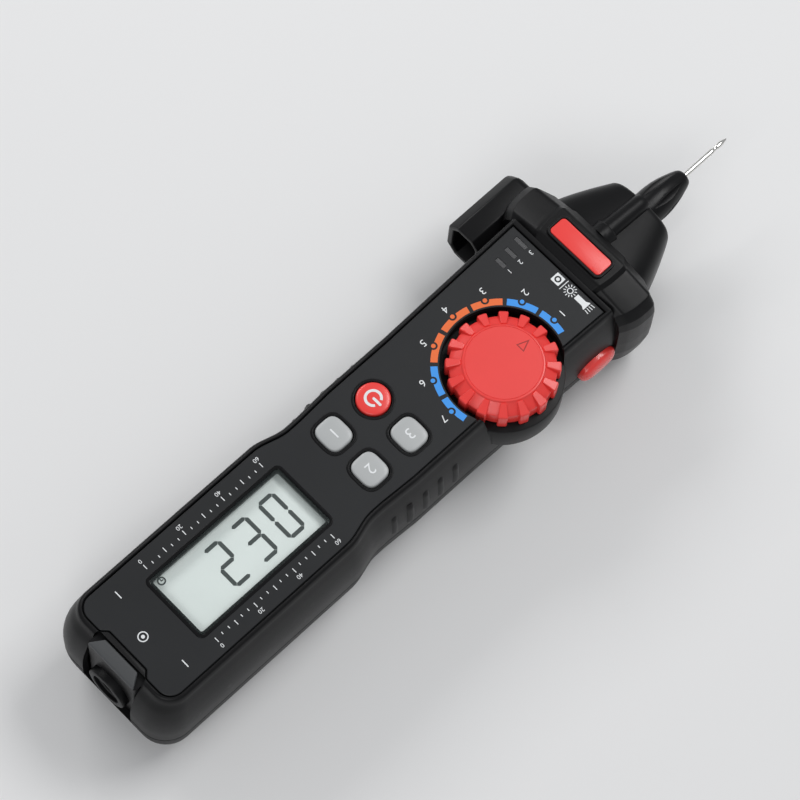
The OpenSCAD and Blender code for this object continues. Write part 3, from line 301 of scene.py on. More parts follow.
def grid(rows, turn=True):
    """A closed skin of (points, faces) from rows of points: four neighbours make a face, each
    row closes on itself, and both end rows are capped."""
    points = np.asarray(rows, float)
    m, n = points.shape[:2]
    i, j = np.indices((m - 1, n))
    a, b = i * n + j, i * n + (j + 1) % n
    faces = np.stack([a, b, b + n, a + n], axis=-1).reshape(-1, 4).tolist()
    faces += [list(range(n))[::-1], list(range((m - 1) * n, m * n))]
    return points.reshape(-1, 3), faces if turn else [face[::-1] for face in faces]


def plate(loops, low, high):
    """A flat plate between two heights from an outline and its holes: the loops' triangles
    above and, turned over, below, and a wall face for each step of a loop."""
    loops = [np.asarray(q, float) for q in loops]
    ring = np.vstack(loops)
    n = len(ring)
    tris = np.array(tessellate_polygon([[Vector(p) for p in level(q, 0)] for q in loops]))
    u, v = ring[tris[:, 1]] - ring[tris[:, 0]], ring[tris[:, 2]] - ring[tris[:, 0]]
    down = u[:, 0] * v[:, 1] - u[:, 1] * v[:, 0] < 0
    tris[down] = tris[down][:, [0, 2, 1]]
    faces = np.stack([tris + n, tris[:, ::-1]], axis=1).reshape(-1, 3).tolist()
    start = 0
    for k, (x, y) in enumerate(q.T for q in loops):
        area = np.sum(x * np.roll(y, -1) - np.roll(x, -1) * y)
        a = start + np.arange(len(x))
        b = np.roll(a, -1)
        wall = np.stack([a, b, b + n, a + n], axis=-1)
        faces += (wall if (area > 0) == (k == 0) else wall[:, ::-1]).tolist()
        start += len(x)
    return np.vstack([level(ring, low), level(ring, high)]), faces


def band(path, profile):
    """A closed band along an outline: each row of the profile is a distance outwards from the
    outline and a height, and the profile closes on itself."""
    side = normals(path)
    rows = np.array([level(path + side * off, z) for off, z in profile])
    m, n = rows.shape[:2]
    i, j = np.indices((m, n))
    down, right = (i + 1) % m, (j + 1) % n
    faces = np.stack([i * n + j, i * n + right, down * n + right, down * n + j], axis=-1)
    return rows.reshape(-1, 3), faces.reshape(-1, 4).tolist()


def round_profile(low, high, z, top, r, n=5):
    """The cross-section of a raised band with two round upper edges, as rows of distance and
    height from its outer foot over the top to its inner foot."""
    right = arc(high - r, top - r, r, 0, 90, n)
    left = arc(low + r, top - r, r, 90, 180, n)
    return np.vstack([[[high, z]], right, left, [[low, z]]])


# Meshes

def make_mesh(name, *parts, sharp=35):
    """An object from one or more shapes of (points, faces), in metres, smooth but for edges
    sharper than the angle given."""
    faces, start = [], 0
    for points, some in parts:
        faces += [[k + start for k in face] for face in some]
        start += len(points)
    mesh = bpy.data.meshes.new(name)
    mesh.from_pydata((np.vstack([points for points, _ in parts]) * MM).tolist(), [], faces)
    piece = bpy.data.objects.new(name, mesh)
    bpy.context.scene.collection.objects.link(piece)
    tidy(piece, sharp)
    return piece


def skin(name, rings, turn=True, sharp=35):
    """An object whose skin runs from ring to ring of points."""
    return make_mesh(name, grid(rings, turn), sharp=sharp)


def stack(name, outline, rows, sharp=35):
    """A skin from rows of a value and a height: the outline for that value, at that height."""
    return skin(name, [level(outline(value), z) for value, z in rows], sharp=sharp)


def prism(name, outline, low, high):
    """An upright block with an outline for its plan."""
    return skin(name, [level(outline, low), level(outline, high)])


def dial_round(name, profile, n=144):
    """A round shape about the dial's axis from its profile."""
    return skin(name, lathe(profile, n) + [DIAL[0], DIAL[1], 0])


def tidy(piece, sharp=35):
    """Merges doubled points, drops faces with no area and points the rest outwards."""
    work = bmesh.new()
    work.from_mesh(piece.data)
    bmesh.ops.remove_doubles(work, verts=work.verts, dist=1e-7)
    bmesh.ops.dissolve_degenerate(work, edges=work.edges, dist=1e-7)
    bmesh.ops.recalc_face_normals(work, faces=work.faces)
    work.to_mesh(piece.data)
    work.free()
    piece.data.shade_smooth()
    piece.data.set_sharp_from_angle(angle=math.radians(sharp))


def carve(piece, tools, operation="DIFFERENCE", sharp=35):
    """Cuts or joins closed tools into a closed piece, one after the other, and removes them."""
    for tool in tools:
        step = piece.modifiers.new("carve", "BOOLEAN")
        step.operation = operation
        step.solver = "MANIFOLD"
        step.object = tool
        graph = bpy.context.evaluated_depsgraph_get()
        mesh = bpy.data.meshes.new_from_object(piece.evaluated_get(graph))
        piece.modifiers.clear()
        old, piece.data = piece.data, mesh
        mesh.name = piece.name
        bpy.data.meshes.remove(old)
        bpy.data.objects.remove(tool)
    tidy(piece, sharp)


def join(name, pieces):
    """One object from several, which are removed."""
    work = bmesh.new()
    for piece in pieces:
        work.from_mesh(piece.data)
        bpy.data.objects.remove(piece)
    mesh = bpy.data.meshes.new(name)
    work.to_mesh(mesh)
    work.free()
    whole = bpy.data.objects.new(name, mesh)
    bpy.context.scene.collection.objects.link(whole)
    tidy(whole)
    return whole


def dress(piece, body, finish, slot, *nodes):
    """Gives a piece its finish and its body, and hides the frame nodes that it stands for."""
    piece.data.materials.clear()
    piece.data.materials.append(finish)
    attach(piece, body)
    if nodes:
        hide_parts(*nodes)


# Finishes

class Wire:
    """A socket of a node tree that takes arithmetic: each operator adds its Math node."""

    def __init__(self, surface, socket):
        self.surface, self.socket = surface, socket

    def math(self, operation, *values):
        return self.surface.node("ShaderNodeMath", {"operation": operation}, values)[0]

    def __add__(self, other):
        return self.math("ADD", self, other)

    def __sub__(self, other):
        return self.math("SUBTRACT", self, other)

    def __rsub__(self, other):
        return self.math("SUBTRACT", other, self)

    def __mul__(self, other):
        return self.math("MULTIPLY", self, other)

    __radd__, __rmul__ = __add__, __mul__


class Surface:
    """A material being built. node makes any node, and the rest are short names for its uses."""

    def __init__(self, name, **constants):
        self.material = bpy.data.materials.new(name)
        self.material.use_nodes = True
        self.tree = self.material.node_tree
        self.shader = next(n for n in self.tree.nodes if n.type == "BSDF_PRINCIPLED")
        for key, value in constants.items():
            self.input(key).default_value = value

    def input(self, key):
        """The shader's input with a name such as base_color."""
        return self.shader.inputs[key.replace("_", " ").title().replace("Ior", "IOR")]

    def node(self, kind, settings=None, values=()):
        """Adds a node, sets it up, then fills its inputs from a list or a dict of values and
        links, and returns its outputs as wires."""
        node = self.tree.nodes.new(kind)
        for key, value in (settings or {}).items():
            setattr(node, key, value)
        pairs = values.items() if isinstance(values, dict) else enumerate(values)
        for key, value in pairs:
            if isinstance(value, Wire):
                self.tree.links.new(value.socket, node.inputs[key])
            else:
                node.inputs[key].default_value = value
        return [Wire(self, socket) for socket in node.outputs]

    def noise(self, scale, detail, stretch=None):
        """Cloudy noise from 0 to 1 on the object's own coordinates, the fourth output of Texture
        Coordinate, with scale in cells a metre."""
        at = self.node("ShaderNodeTexCoord")[3]
        if stretch:
            at = self.node("ShaderNodeMapping", None, {"Vector": at, "Scale": stretch})[0]
        return self.node("ShaderNodeTexNoise", None,
                         {"Vector": at, "Scale": scale, "Detail": detail})[0]

    def blend(self, mask, low, high):
        """A colour between two by a mask: inputs 6 and 7 of Mix are its colours."""
        return self.node("ShaderNodeMix", {"data_type": "RGBA"}, {0: mask, 6: low, 7: high})[2]

    def ramp(self, value, low, high):
        """0 at low, 1 at high and a straight line between, held to 0 and 1."""
        return self.node("ShaderNodeMapRange", {"clamp": True}, [value, low, high])[0]

    def bump(self, height, distance):
        """A normal from a height, with the distance in metres that 1 stands for."""
        return self.node("ShaderNodeBump", None, {"Height": height, "Distance": distance})[0]

    def feed(self, **wires):
        """Links wires to the shader's inputs."""
        for key, wire in wires.items():
            self.tree.links.new(wire.socket, self.input(key))


def shade(colour, factor):
    """A colour made darker or lighter."""
    return (*[min(1, c * factor) for c in colour[:3]], 1)


DARK, DARK_SHINE = 0.06, 0.22   # colours below the first get the second as their shine


def moulded(name, colour, rough, grain=0.00001, grain_scale=9000, vary=0.12, coat=0.0):
    """Moulded plastic: a fine grain, faint clouds of colour and gloss, and a few rubbed spots.
    Blacks are given less shine, so that they stay black."""
    s = Surface(name)
    clouds = s.noise(60, 4)
    fine = s.noise(grain_scale, 2)
    rubbed = s.ramp(s.noise(350, 5), 0.62, 0.8)
    s.feed(base_color=s.blend(clouds, shade(colour, 1 - vary), shade(colour, 1 + vary)),
           roughness=clouds * 0.1 + fine * 0.08 - rubbed * 0.08 + (rough - 0.09),
           normal=s.bump(fine, grain))
    if max(colour[:3]) < DARK:
        s.input("specular_ior_level").default_value = DARK_SHINE
    if coat:
        s.input("coat_weight").default_value = coat
        s.input("coat_roughness").default_value = 0.2
    return s.material


def polished(name, colour, rough):
    """Plated metal: drawn lines along the piece, small clouds in the gloss."""
    s = Surface(name, metallic=1.0)
    lines = s.noise(4000, 2, stretch=(1, 0.05, 1))
    clouds = s.noise(300, 3)
    s.feed(base_color=s.blend(clouds, shade(colour, 0.86), shade(colour, 1.05)),
           roughness=lines * 0.12 + clouds * 0.08 + (rough - 0.1),
           normal=s.bump(lines, 0.000004))
    return s.material


def printed(name, colour):
    """Screen printed ink: near flat, with a trace of unevenness."""
    s = Surface(name)
    ink = s.noise(1500, 3)
    s.feed(base_color=s.blend(ink, shade(colour, 0.93), shade(colour, 1.03)),
           roughness=ink * 0.15 + 0.42)
    return s.material


def clear(name, colour, alpha):
    """Clear plastic that lets the piece behind it show, with a faint haze."""
    s = Surface(name, base_color=colour)
    haze = s.noise(120, 3)
    s.feed(alpha=haze * 0.03 + alpha, roughness=haze * 0.05 + 0.04)
    return s.material


def display_ground(name, colour):
    """The display's pale ground: faint clouds of colour and a fine, even gloss."""
    s = Surface(name)
    fine, clouds = s.noise(6000, 2), s.noise(40, 3)
    s.feed(base_color=s.blend(clouds, shade(colour, 0.96), shade(colour, 1.03)),
           roughness=fine * 0.1 + 0.32)
    return s.material


# Numbers and pictograms: flat shapes whose u axis is the reading direction and whose v axis is up

def toward_needle(x, y):
    """Places flat shapes on the sheet with their top towards +X."""
    return lambda p: np.column_stack([x + p[:, 1], y - p[:, 0]])


def toward_left(x, y):
    """Places flat shapes on the sheet with their top towards -X."""
    return lambda p: np.column_stack([x - p[:, 1], y + p[:, 0]])


def word(text, size, place, low, up):
    """A flat number as a closed shape: Blender's font made a mesh, then turned into place."""
    curve = bpy.data.curves.new("word", "FONT")
    curve.body = text
    curve.size = size
    curve.align_x = curve.align_y = "CENTER"
    curve.extrude = up / 2
    curve.resolution_u = 3
    holder = bpy.data.objects.new("word", curve)
    bpy.context.scene.collection.objects.link(holder)
    graph = bpy.context.evaluated_depsgraph_get()
    mesh = bpy.data.meshes.new_from_object(holder.evaluated_get(graph))
    points = np.empty(len(mesh.vertices) * 3)
    mesh.vertices.foreach_get("co", points)
    points = points.reshape(-1, 3)
    faces = [list(face.vertices) for face in mesh.polygons]
    bpy.data.objects.remove(holder)
    bpy.data.curves.remove(curve)
    bpy.data.meshes.remove(mesh)
    return level(place(points[:, :2]), points[:, 2] + low + up / 2), faces


def mark(loops, place, low, up):
    """A flat shape from its outline and holes in u and v."""
    return plate([place(np.asarray(q, float)) for q in loops], low, low + up)


# The case

# Rows of a share of the case's height and, there, the shares of the side's and the tail's bulge
WALL_ROWS = np.array([[0, -1.3, -0.1], [0.028, -0.75, 0.18], [0.083, -0.2, 0.4], [0.22, 0.5, 0.76],
                      [0.33, 0.8, 0.93], [0.44, 0.97, 1], [0.56, 1, 1], [0.72, 0.8, 0.85],
                      [0.86, 0.38, 0.48], [0.955, 0, 0.06], [0.985, -0.08, 0],
                      [1.007, -0.35, -0.12]])


def side_rows():
    """Places along the case and the sheet's half width there: wide at the display, narrow at the
    waist, whose ends are shares of the way from the display to the keys."""
    end, key = WINDOW_END_Y, KEYS["key_right_upper"][1] - 7
    span = key - end
    return [[end, SHEET_HIGH[0]], [end + 0.312 * span, WAIST], [end + 0.523 * span, WAIST],
            [key, GRIP], [DIAL[1] - sizes().well_r, GRIP], [COLLAR_Y, SHOULDER]]


def case_outline(z, inset=0.0):
    """The case's outline at a height: the sheet's sides moved out by the rim and by the wall's
    bulge at that height, with round tail corners that swell more than the sides."""
    s = sizes()
    share = z / SHEET_TOP
    side = s.side_bulge * float(smooth_rows(WALL_ROWS[:, [0, 1]], share)) - inset
    tail = s.tail_bulge * float(smooth_rows(WALL_ROWS[:, [0, 2]], share)) - inset
    rim = s.rim_gap + s.rim_w
    r = max(s.corner_r + tail / 2 - inset / 2, 1.5)
    right = [[SHEET_HIGH[0] + rim + side, SHEET_LOW[1] - rim - tail]]
    right += [[half + rim + side, y] for y, half in side_rows()]
    radii = [r] + [BEND_R] * (len(right) - 2) + [0]
    return mirrored(right, radii, 10)


def sheet_outline(grow):
    """The face sheet's outline moved out by a margin, with its notch at the tail, whose slanted
    end moves by tan 22.5 degrees of the margin."""
    w, y = SHEET_HIGH[0] + grow, SHEET_LOW[1] - grow
    notch = NOTCH_HALF - grow * 0.414
    rows = side_rows()
    rows[-1][0] = SHEET_END_Y + grow
    right = [[notch - NOTCH_DEEP, y + NOTCH_DEEP], [notch, y], [w, y]]
    right += [[half + grow, y] for y, half in rows]
    radii = [1.2 - grow * 0.4, 1.2 + grow, 4 + grow] + [BEND_R] * (len(right) - 4) + [0]
    return mirrored(right, radii, 8)


def window_outline(grow, r):
    """The display opening's outline with its width and length grown by a margin."""
    return round_rect(20.2 + grow, 44.9 + grow, r, 0, WINDOW_Y)


def cavity(low, high, steps):
    """The inside of the case between two heights: its outlines drawn in by the wall."""
    return skin("cavity", [level(case_outline(z, sizes().wall), z)
                           for z in np.linspace(low, high, steps)])


def wall_reach(z, y):
    """Half width of the case at a height: the outline's right-hand point nearest to y."""
    outline = case_outline(z)
    outline = outline[outline[:, 0] >= 0]
    return outline[np.argmin(np.abs(outline[:, 1] - y)), 0]


def button_ring(grow, x, n=96):
    """The side button's outline at a distance across: a superellipse moved out by a margin."""
    long, high, power = BUTTON_SIZE
    at = (BUTTON_LOW + BUTTON_HIGH) / 2
    ring = squircle(long + 2 * grow, high + 2 * grow, power, n)
    return surface(x, at[1] + ring[:, 0], at[2] + ring[:, 1])


def key_hole(name, grow):
    """A key's outline moved out by a margin: a circle, or a superellipse for the grey keys."""
    x, y, _ = KEYS[name]
    if name == "key_power":
        return circle(x, y, POWER_KEY_R + grow, 64)
    w, long, power = KEY_SIZE
    return squircle(w + 2 * grow, long + 2 * grow, power, 64) + [x, y]


def key_cutters():
    """Blocks that cut the keys' holes."""
    return [prism("hole", key_hole(name, sizes().rim_gap), *THROUGH) for name in KEYS]


def side_and_tail_cutters():
    """Blocks that cut the side button's hole and the recess between the tail's corners."""
    recess = mirrored([[8.8, TAIL_Y - 2], [8.8, BLOCK_END_Y]], [0, 1], 5)
    return [skin("way", [button_ring(BUTTON_PLAY, x) for x in (16, 30)]),
            prism("recess", recess, AXIS_Z - 8.1, 40)]


def rib(side, index):
    """A grip rib up a side wall: an ellipse about a line inside the wall, which stands proud of
    it by less towards both ends, as the square root of the distance from them."""
    pitch, sunk, proud, half = 5.3, 0.7, 0.55, 1.3
    y = side_rows()[1][0] + pitch * (index + 1.3)
    z = np.linspace(SEAM_Z + 2.4, 28.6, 24)[:, None]
    reach = np.array([wall_reach(h, y) for h in z[:, 0]])[:, None]
    fade = np.clip(np.minimum(z - z[0], z[-1] - z) / 1.4, 0.02, 1) ** 0.5
    t = np.linspace(0, 2 * np.pi, 17)[:-1]
    x = reach - sunk + (sunk + proud * fade) * np.cos(t)
    return skin("rib", surface(side * x, y + half * np.sin(t), z), side > 0)


class MESH_OT_meter_front(bpy.types.Operator):
    """Front shell: swelling walls, a rounded rim round the sheet's pocket and the dial's well"""
    bl_idname = "mesh.meter_front"
    bl_label = "Front shell"

    def execute(self, context):
        s = sizes()
        r, bulge, gap = RIM_ROUND, s.bulge_r, s.rim_gap
        floor, cup_r, shaft_r = 31, 17.6, 4.08
        # Outlines from the seam to the top, where the edge is an arc, and the dial's bulge
        rings = [level(case_outline(SEAM_Z, SEAM_IN), SEAM_Z + SEAM_GAP)]
        rings += [level(case_outline(z), z)
                  for z in np.linspace(SEAM_Z + SEAM_IN, SHEET_TOP - 0.3, 30)]
        rings += [level(case_outline(SHEET_TOP - 0.2 + r * math.sin(a), r * (1 - math.cos(a))),
                        SHEET_TOP - 0.15 + r * math.sin(a))
                  for a in np.radians([0, 22, 45, 68, 90])]
        shell = skin("front_shell_skin", rings)
        carve(shell, [dial_round("under", [
            [13.9, SEAM_Z + 2.4], [15.2, SEAM_Z + 4.2], [bulge - 0.2, SEAM_Z + 5.8],
            [bulge, SEAM_Z + 6.6], [bulge, 30.5], [bulge - 0.15, 30.86], [bulge - 0.5, floor]])],
            "UNION")
        # The inside leaves a cup round the dial's well, and the sheet's pocket has round edges
        hollow = cavity(SEAM_Z - 1, SHEET_TOP - 2.4, 12)
        carve(hollow, [dial_round("cup", [[cup_r, 29.2], [cup_r, 40]], 96)])
        hub = dial_round("hub", [[shaft_r, 20], [shaft_r, 38]], 64)
        pocket = [level(sheet_outline(gap), z) for z in (34.9, 35.9)]
        pocket += [level(sheet_outline(gap + r * (1 - math.cos(a))), 35.87 + r * math.sin(a))
                   for a in np.radians([25, 50, 75, 90])]
        pocket += [level(sheet_outline(gap + 0.42), THROUGH[1])]
        well = [[s.well_r, floor], [s.well_r, 35.5], [s.well_r + 0.1, 40]]
        carve(shell, [hollow, hub, skin("pocket", pocket), dial_round("well", well),
                      prism("window", window_outline(0.8, 1.5), *THROUGH)] + key_cutters()
              + side_and_tail_cutters())
        shell = join("front_shell_skin", [shell] + [rib(side, i) for side in (-1, 1)
                                                    for i in range(5)])
        dress(shell, "meter", moulded("black_shell", colours().case, 0.42), "black_case",
              "front_shell")
        return {"FINISHED"}


class MESH_OT_meter_rear(bpy.types.Operator):
    """Rear shell: the lower half of the swelling walls, with the battery bay and screw holes"""
    bl_idname = "mesh.meter_rear"
    bl_label = "Rear shell"

    def execute(self, context):
        rings = [level(case_outline(z, inset), z)
                 for z, inset in ((0, 0.35), (0.12, 0.12), (0.35, 0))]
        rings += [level(case_outline(z), z) for z in np.linspace(0.8, SEAM_Z - SEAM_IN, 22)]
        rings.append(level(case_outline(SEAM_Z, SEAM_IN), SEAM_Z - SEAM_GAP))
        shell = skin("rear_shell_skin", rings)
        cells_low, cells_high = corners("batteries")
        bay = round_rect(cells_high[0] - cells_low[0] + 0.8, 51.3, 0.6, 0, -58.6)
        cover = round_rect(COVER_HIGH[0] - COVER_LOW[0] + 0.5, COVER_HIGH[1] - COVER_LOW[1] + 0.5,
                           2, 0, (COVER_LOW[1] + COVER_HIGH[1]) / 2)
        carve(shell, [cavity(12.2, SEAM_Z + 1, 6), prism("bay", bay, -1, 12.6),
                      prism("cover", cover, -1, COVER_HIGH[2] + 0.15)] + side_and_tail_cutters())
        screw_x, screw_y, screw_top = 12.6, -99.9, 3.6
        carve(shell, [prism("screw", circle(x, screw_y, SCREW_R, 40), -1, screw_top)
                      for x in (screw_x, -screw_x)])
        dress(shell, "meter", moulded("black_back", colours().case, 0.5, 0.00002), "black_case",
              "rear_shell")
        return {"FINISHED"}


def lamp_bars():
    """The three lamp bars, each wider than the last: middle x and y, and width. Their right-hand
    ends are in line, and their steps are a share of the room from the dial's well to the collar."""
    right, widths = -9.8, [3.2 + 0.45 * i for i in range(3)]
    start = DIAL[1] + sizes().well_r
    step = (COLLAR_Y - DIAL[1] - sizes().well_r) * 0.26
    return [(right - w / 2, start + step * (i + 0.9), w) for i, w in enumerate(widths)]


class MESH_OT_meter_sheet(bpy.types.Operator):
    """Face sheet with its bevelled edge, the openings' raised rims and the display's bezel"""
    bl_idname = "mesh.meter_sheet"
    bl_label = "Face sheet"

    def execute(self, context):
        s, c = sizes(), colours()
        # Sheet, its openings, the keys' rims, and the display's outer and inner lip
        face = stack("face_sheet_skin", sheet_outline, (
            (0, SHEET_Z), (0, SHEET_TOP - 0.22), (-0.05, SHEET_TOP - 0.08), (-0.2, SHEET_TOP)))
        tools = [prism("window", window_outline(0.4, 1.4), *THROUGH),
                 dial_round("well", [[s.well_r + 0.15, z] for z in THROUGH])] + key_cutters()
        tools += [prism("bar", round_rect(w + 0.2, 1.4, 0.25, x, y), *THROUGH)
                  for x, y, w in lamp_bars()]
        carve(face, tools, sharp=20)
        dress(face, "meter", moulded("grey_sheet", c.sheet, 0.4, 0.000012, 5000, 0.06),
              "grey_sheet", "face_sheet")
        profile = round_profile(-0.3, 0.42, 35.6, 36.16, 0.13)
        trim = make_mesh("key_rims", *[band(key_hole(name, s.rim_gap + 0.35), profile)
                                       for name in KEYS])
        dress(trim, "meter", moulded("rim_black", shade(c.case, 1.1), 0.3), "grey_sheet")
        outer = band(window_outline(0, 1.3),
                     round_profile(-0.3, 0.62, 35, 36.15, 0.14))
        inner = band(window_outline(-1.3, 1),
                     round_profile(-0.4, 0.2, 34.6, 35.86, 0.1))
        bezel = make_mesh("display_bezel_lip", outer, inner)
        dress(bezel, "meter", moulded("bezel_black", c.case, 0.25), "black_plastic",
              "display_bezel")
        return {"FINISHED"}


# Display

LIT = {"0": "abcdef", "2": "abged", "3": "abgcd"}


def digit(number, index):
    """One seven-segment digit: each segment is a bar whose ends come to a point on its middle
    line."""
    w, h, half, gap = 4.6, 11.9, 0.55, 0.06
    place = toward_left(5.6, -72.8 + 9.3 * index)
    ends = {"a": ((0, h), (w, h)), "b": ((w, h / 2), (w, h)), "c": ((w, 0), (w, h / 2)),
            "d": ((0, 0), (w, 0)), "e": ((0, 0), (0, h / 2)), "f": ((0, h / 2), (0, h)),
            "g": ((0, h / 2), (w, h / 2))}
    bars = []
    for name in LIT[number]:
        p, q = np.array(ends[name], float)
        along = (q - p) / np.linalg.norm(q - p)
        across = np.array([-along[1], along[0]]) * half
        tip = along * half
        a, b = p + along * gap, q - along * gap
        bar = [a, a + tip - across, b - tip - across, b, b - tip + across, a + tip + across]
        bars.append(mark([bar], place, SEGMENT_Z, SEGMENT_UP))
    return bars


class MESH_OT_meter_display(bpy.types.Operator):
    """Display: pale glass behind a clear window, with dark seven-segment digits"""
    bl_idname = "mesh.meter_display"
    bl_label = "Display"

    def execute(self, context):
        c = colours()
        ground = prism("display_ground", window_outline(-0.4, 1.1), GLASS_TOP - 0.8,
                       GLASS_TOP - 0.02)
        dress(ground, "meter", display_ground("lcd_ground", c.lcd), "display_glass",
              "display_glass")
        parts = [bar for i, number in enumerate("230") for bar in digit(number, i)]
        clock = toward_left(-8.2, -85.6)
        hands = [[-0.15, -0.1], [0.15, 0.7]], [[0, -0.15], [0.6, 0.15]]
        signs = [ring_arc(0.75, 1.15, 0, 359.9, 40)]
        signs += [[low, [high[0], low[1]], high, [low[0], high[1]]] for low, high in hands]
        parts += [mark([sign], clock, SEGMENT_Z, SEGMENT_UP) for sign in signs]
        segments = make_mesh("display_segments", *parts)
        dress(segments, "meter", printed("lcd_segments", c.segment), "display_glass")
        window = clear("window_clear", (0.35, 0.45, 0.43, 1), 0.035)
        for slot in bpy.data.objects["display_window"].material_slots:
            slot.material = window
        return {"FINISHED"}


# Dial, keys and button

def lug(angle, low):
    """A lug of the dial: its plan is a tapered tongue with a round inner end and an outer end on
    the dial's circle, skinned up to a top that slopes outwards and whose edge is rounded."""
    r_out, r_in, slope = 15.0, 11.0, 0.27
    t = np.linspace(-1.42 / r_out, 1.42 / r_out, 7)
    plan = np.vstack([r_out * np.column_stack([np.cos(t), np.sin(t)]),
                      [[r_in, 0.85], [r_in, -0.85]]])
    plan = fillet(plan, [0.5] + [0] * 5 + [0.5, 0.4, 0.4], 4)
    side = normals(plan)
    rings = []
    for inset, drop in ((0.15, None), (0, None), (0, 0.42), (0.04, 0.24), (0.13, 0.09), (0.28, 0)):
        q = plan - side * inset
        z = (low + 0.15 - inset if drop is None
             else KNOB_TOP - 0.12 - slope * (q[:, 0] - r_in) - drop)
        rings.append(level(turned(q, angle) + DIAL[:2], z))
    return grid(rings)


class MESH_OT_meter_dial(bpy.types.Operator):
    """Dial: a disc with a sloping shoulder and sixteen tapered lugs round it"""
    bl_idname = "mesh.meter_dial"
    bl_label = "Dial"

    def execute(self, context):
        red, low, lugs = colours().red, 31.3, 16
        # Rows of radius and depth below the top: wall, shoulder, crown, fine groove and disc
        hub = [[r, KNOB_TOP - drop] for r, drop in (
            (14.0, 2.6), (13.93, 2.33), (13.7, 2.08), (12.6, 1.42), (11.5, 0.76), (10.95, 0.42),
            (10.8, 0.2), (10.62, 0.05), (10.4, 0), (10.28, 0), (10.22, 0.16), (10.06, 0.16),
            (10.0, 0), (9.5, 0), (6, 0), (0.05, 0))]
        hub = lathe([[13.8, low], [14.0, low + 0.2]] + hub, 192) + [DIAL[0], DIAL[1], 0]
        knob = make_mesh("dial_knob_skin", grid(hub),
                         *[lug(math.tau * i / lugs, low) for i in range(lugs)], sharp=22)
        dress(knob, "dial", moulded("dial_red", red, 0.36, 0.000008, 7000, 0.07, 0.25),
              "red_plastic", "dial_knob")
        # The pointer's triangle is a flat, flush mark painted a darker red: painted shade that
        # stands for the shadow in its groove
        outer = np.array([[-1.4, 5.85], [1.4, 5.85], [0, 9.4]]) + DIAL[:2]
        inner = np.array([[-0.95, 6.13], [0.95, 6.13], [0, 8.55]]) + DIAL[:2]
        groove = make_mesh("dial_mark", plate([outer, inner[::-1]], KNOB_TOP - 0.02,
                                              KNOB_TOP + 0.02))
        dress(groove, "dial", moulded("dial_groove", shade(red, 0.45), 0.5), "red_plastic")
        return {"FINISHED"}


class MESH_OT_meter_keys(bpy.types.Operator):
    """Keys: crowned soft keys with rounded edges, and the power key's printed sign"""
    bl_idname = "mesh.meter_keys"
    bl_label = "Keys"

    def execute(self, context):
        c = colours()
        tops = {name: corners(name)[1][2] for name in KEYS}
        thick = 0.15
        grey = moulded("key_grey", c.key, 0.38, 0.000008, 6000, 0.04, 0.15)
        red = moulded("key_red", c.red, 0.32, 0.000008, 6000, 0.06, 0.35)
        for name in KEYS:
            at = KEYS[name][:2]
            base = key_hole(name, 0) - at
            # Rows of a share of the outline and its depth below the top
            cap = stack(name + "_cap", lambda share: base * share + at,
                        [(share, tops[name] - drop) for share, drop in (
                            (1, 1.9), (1, 0.68), (0.985, 0.47), (0.95, 0.3), (0.88, 0.2),
                            (0.7, 0.12), (0.45, 0.07), (0.2, 0.05), (0.02, 0.05))], 50)
            finish = (red, "red_plastic") if name == "key_power" else (grey, "grey_key")
            dress(cap, name[4:] + "_key", *finish, name)
        for text, name in (("1", "key_left"), ("2", "key_right_lower"), ("3", "key_right_upper")):
            number = make_mesh(name + "_number", word(text, 4.4, toward_needle(*KEYS[name][:2]),
                                                      tops[name] - thick, thick))
            dress(number, name[4:] + "_key", printed(name + "_ink", c.white), "grey_key")
        at, top = KEYS["key_power"][:2], tops["key_power"]
        power = make_mesh("power_sign", *[plate([loop], top - thick, top) for loop in (
            ring_arc(1.72, 2.45, 32, 328, 40, *at), round_rect(3.0, 0.72, 0.3, 1.35, 0, 4) + at)])
        dress(power, "power_key", printed("sign_white", c.white), "white_plastic")
        return {"FINISHED"}


class MESH_OT_meter_button(bpy.types.Operator):
    """Side button: a glossy oval cushion that rises out of the wall"""
    bl_idname = "mesh.meter_button"
    bl_label = "Side button"

    def execute(self, context):
        # Rows of inset and depth below the crown
        rings = [button_ring(-inset, BUTTON_HIGH[0] - drop, 128) for inset, drop in (
            (0, 4.8), (0, 1.75), (0.1, 1.4), (0.3, 1.08), (0.65, 0.72), (1.15, 0.42),
            (1.8, 0.19), (2.6, 0.06), (3.6, 0.0))]
        body = skin("side_button_cap", rings, sharp=50)
        dress(body, "side_button", moulded("button_red", colours().red, 0.25, 0.000004, 5000,
                                           0.06, 0.6), "red_plastic", "side_button")
        return {"FINISHED"}


# Head

# Rows of shares of half width and height, up the collar's side from its foot
COLLAR_SECTION = np.array([[0.55, 0], [0.84, 0.08], [0.95, 0.2], [0.995, 0.38], [1, 0.55],
                           [0.992, 0.77], [0.96, 0.855], [0.87, 0.925], [0.515, 0.975],
                           [0.465, 1]])
COLLAR_RADII = [1.2, 2, 5, 8, 8, 2, 0.7, 0.7, 0.3, 0.3]
# Rows of a share of the collar's length, then its width's share and the share that its top drops
COLLAR_PLAN = np.array([[0, 0.9, 0.035], [0.13, 0.95, 0.002], [0.16, 0.96, 0], [0.5, 1, 0],
                        [0.78, 0.99, 0], [0.81, 0.98, 0.002], [1, 0.78, 0.07]])


def collar_ring(t):
    """The collar's outline at a share of its length: the section scaled to the width and height
    there, and mirrored."""
    w = COLLAR_HIGH[0] * float(smooth_rows(COLLAR_PLAN[:, :2], t))
    drop = float(np.interp(t, COLLAR_PLAN[:, 0], COLLAR_PLAN[:, 2]))
    low = SHEET_TOP * max(0, drop - 0.03) * 0.9
    right = [w, COLLAR_HIGH[2] * (1 - drop) - low] * COLLAR_SECTION + [0, low]
    return upright(mirrored(right, COLLAR_RADII, 4),
                   COLLAR_LOW[1] + (COLLAR_HIGH[1] - COLLAR_LOW[1]) * t)


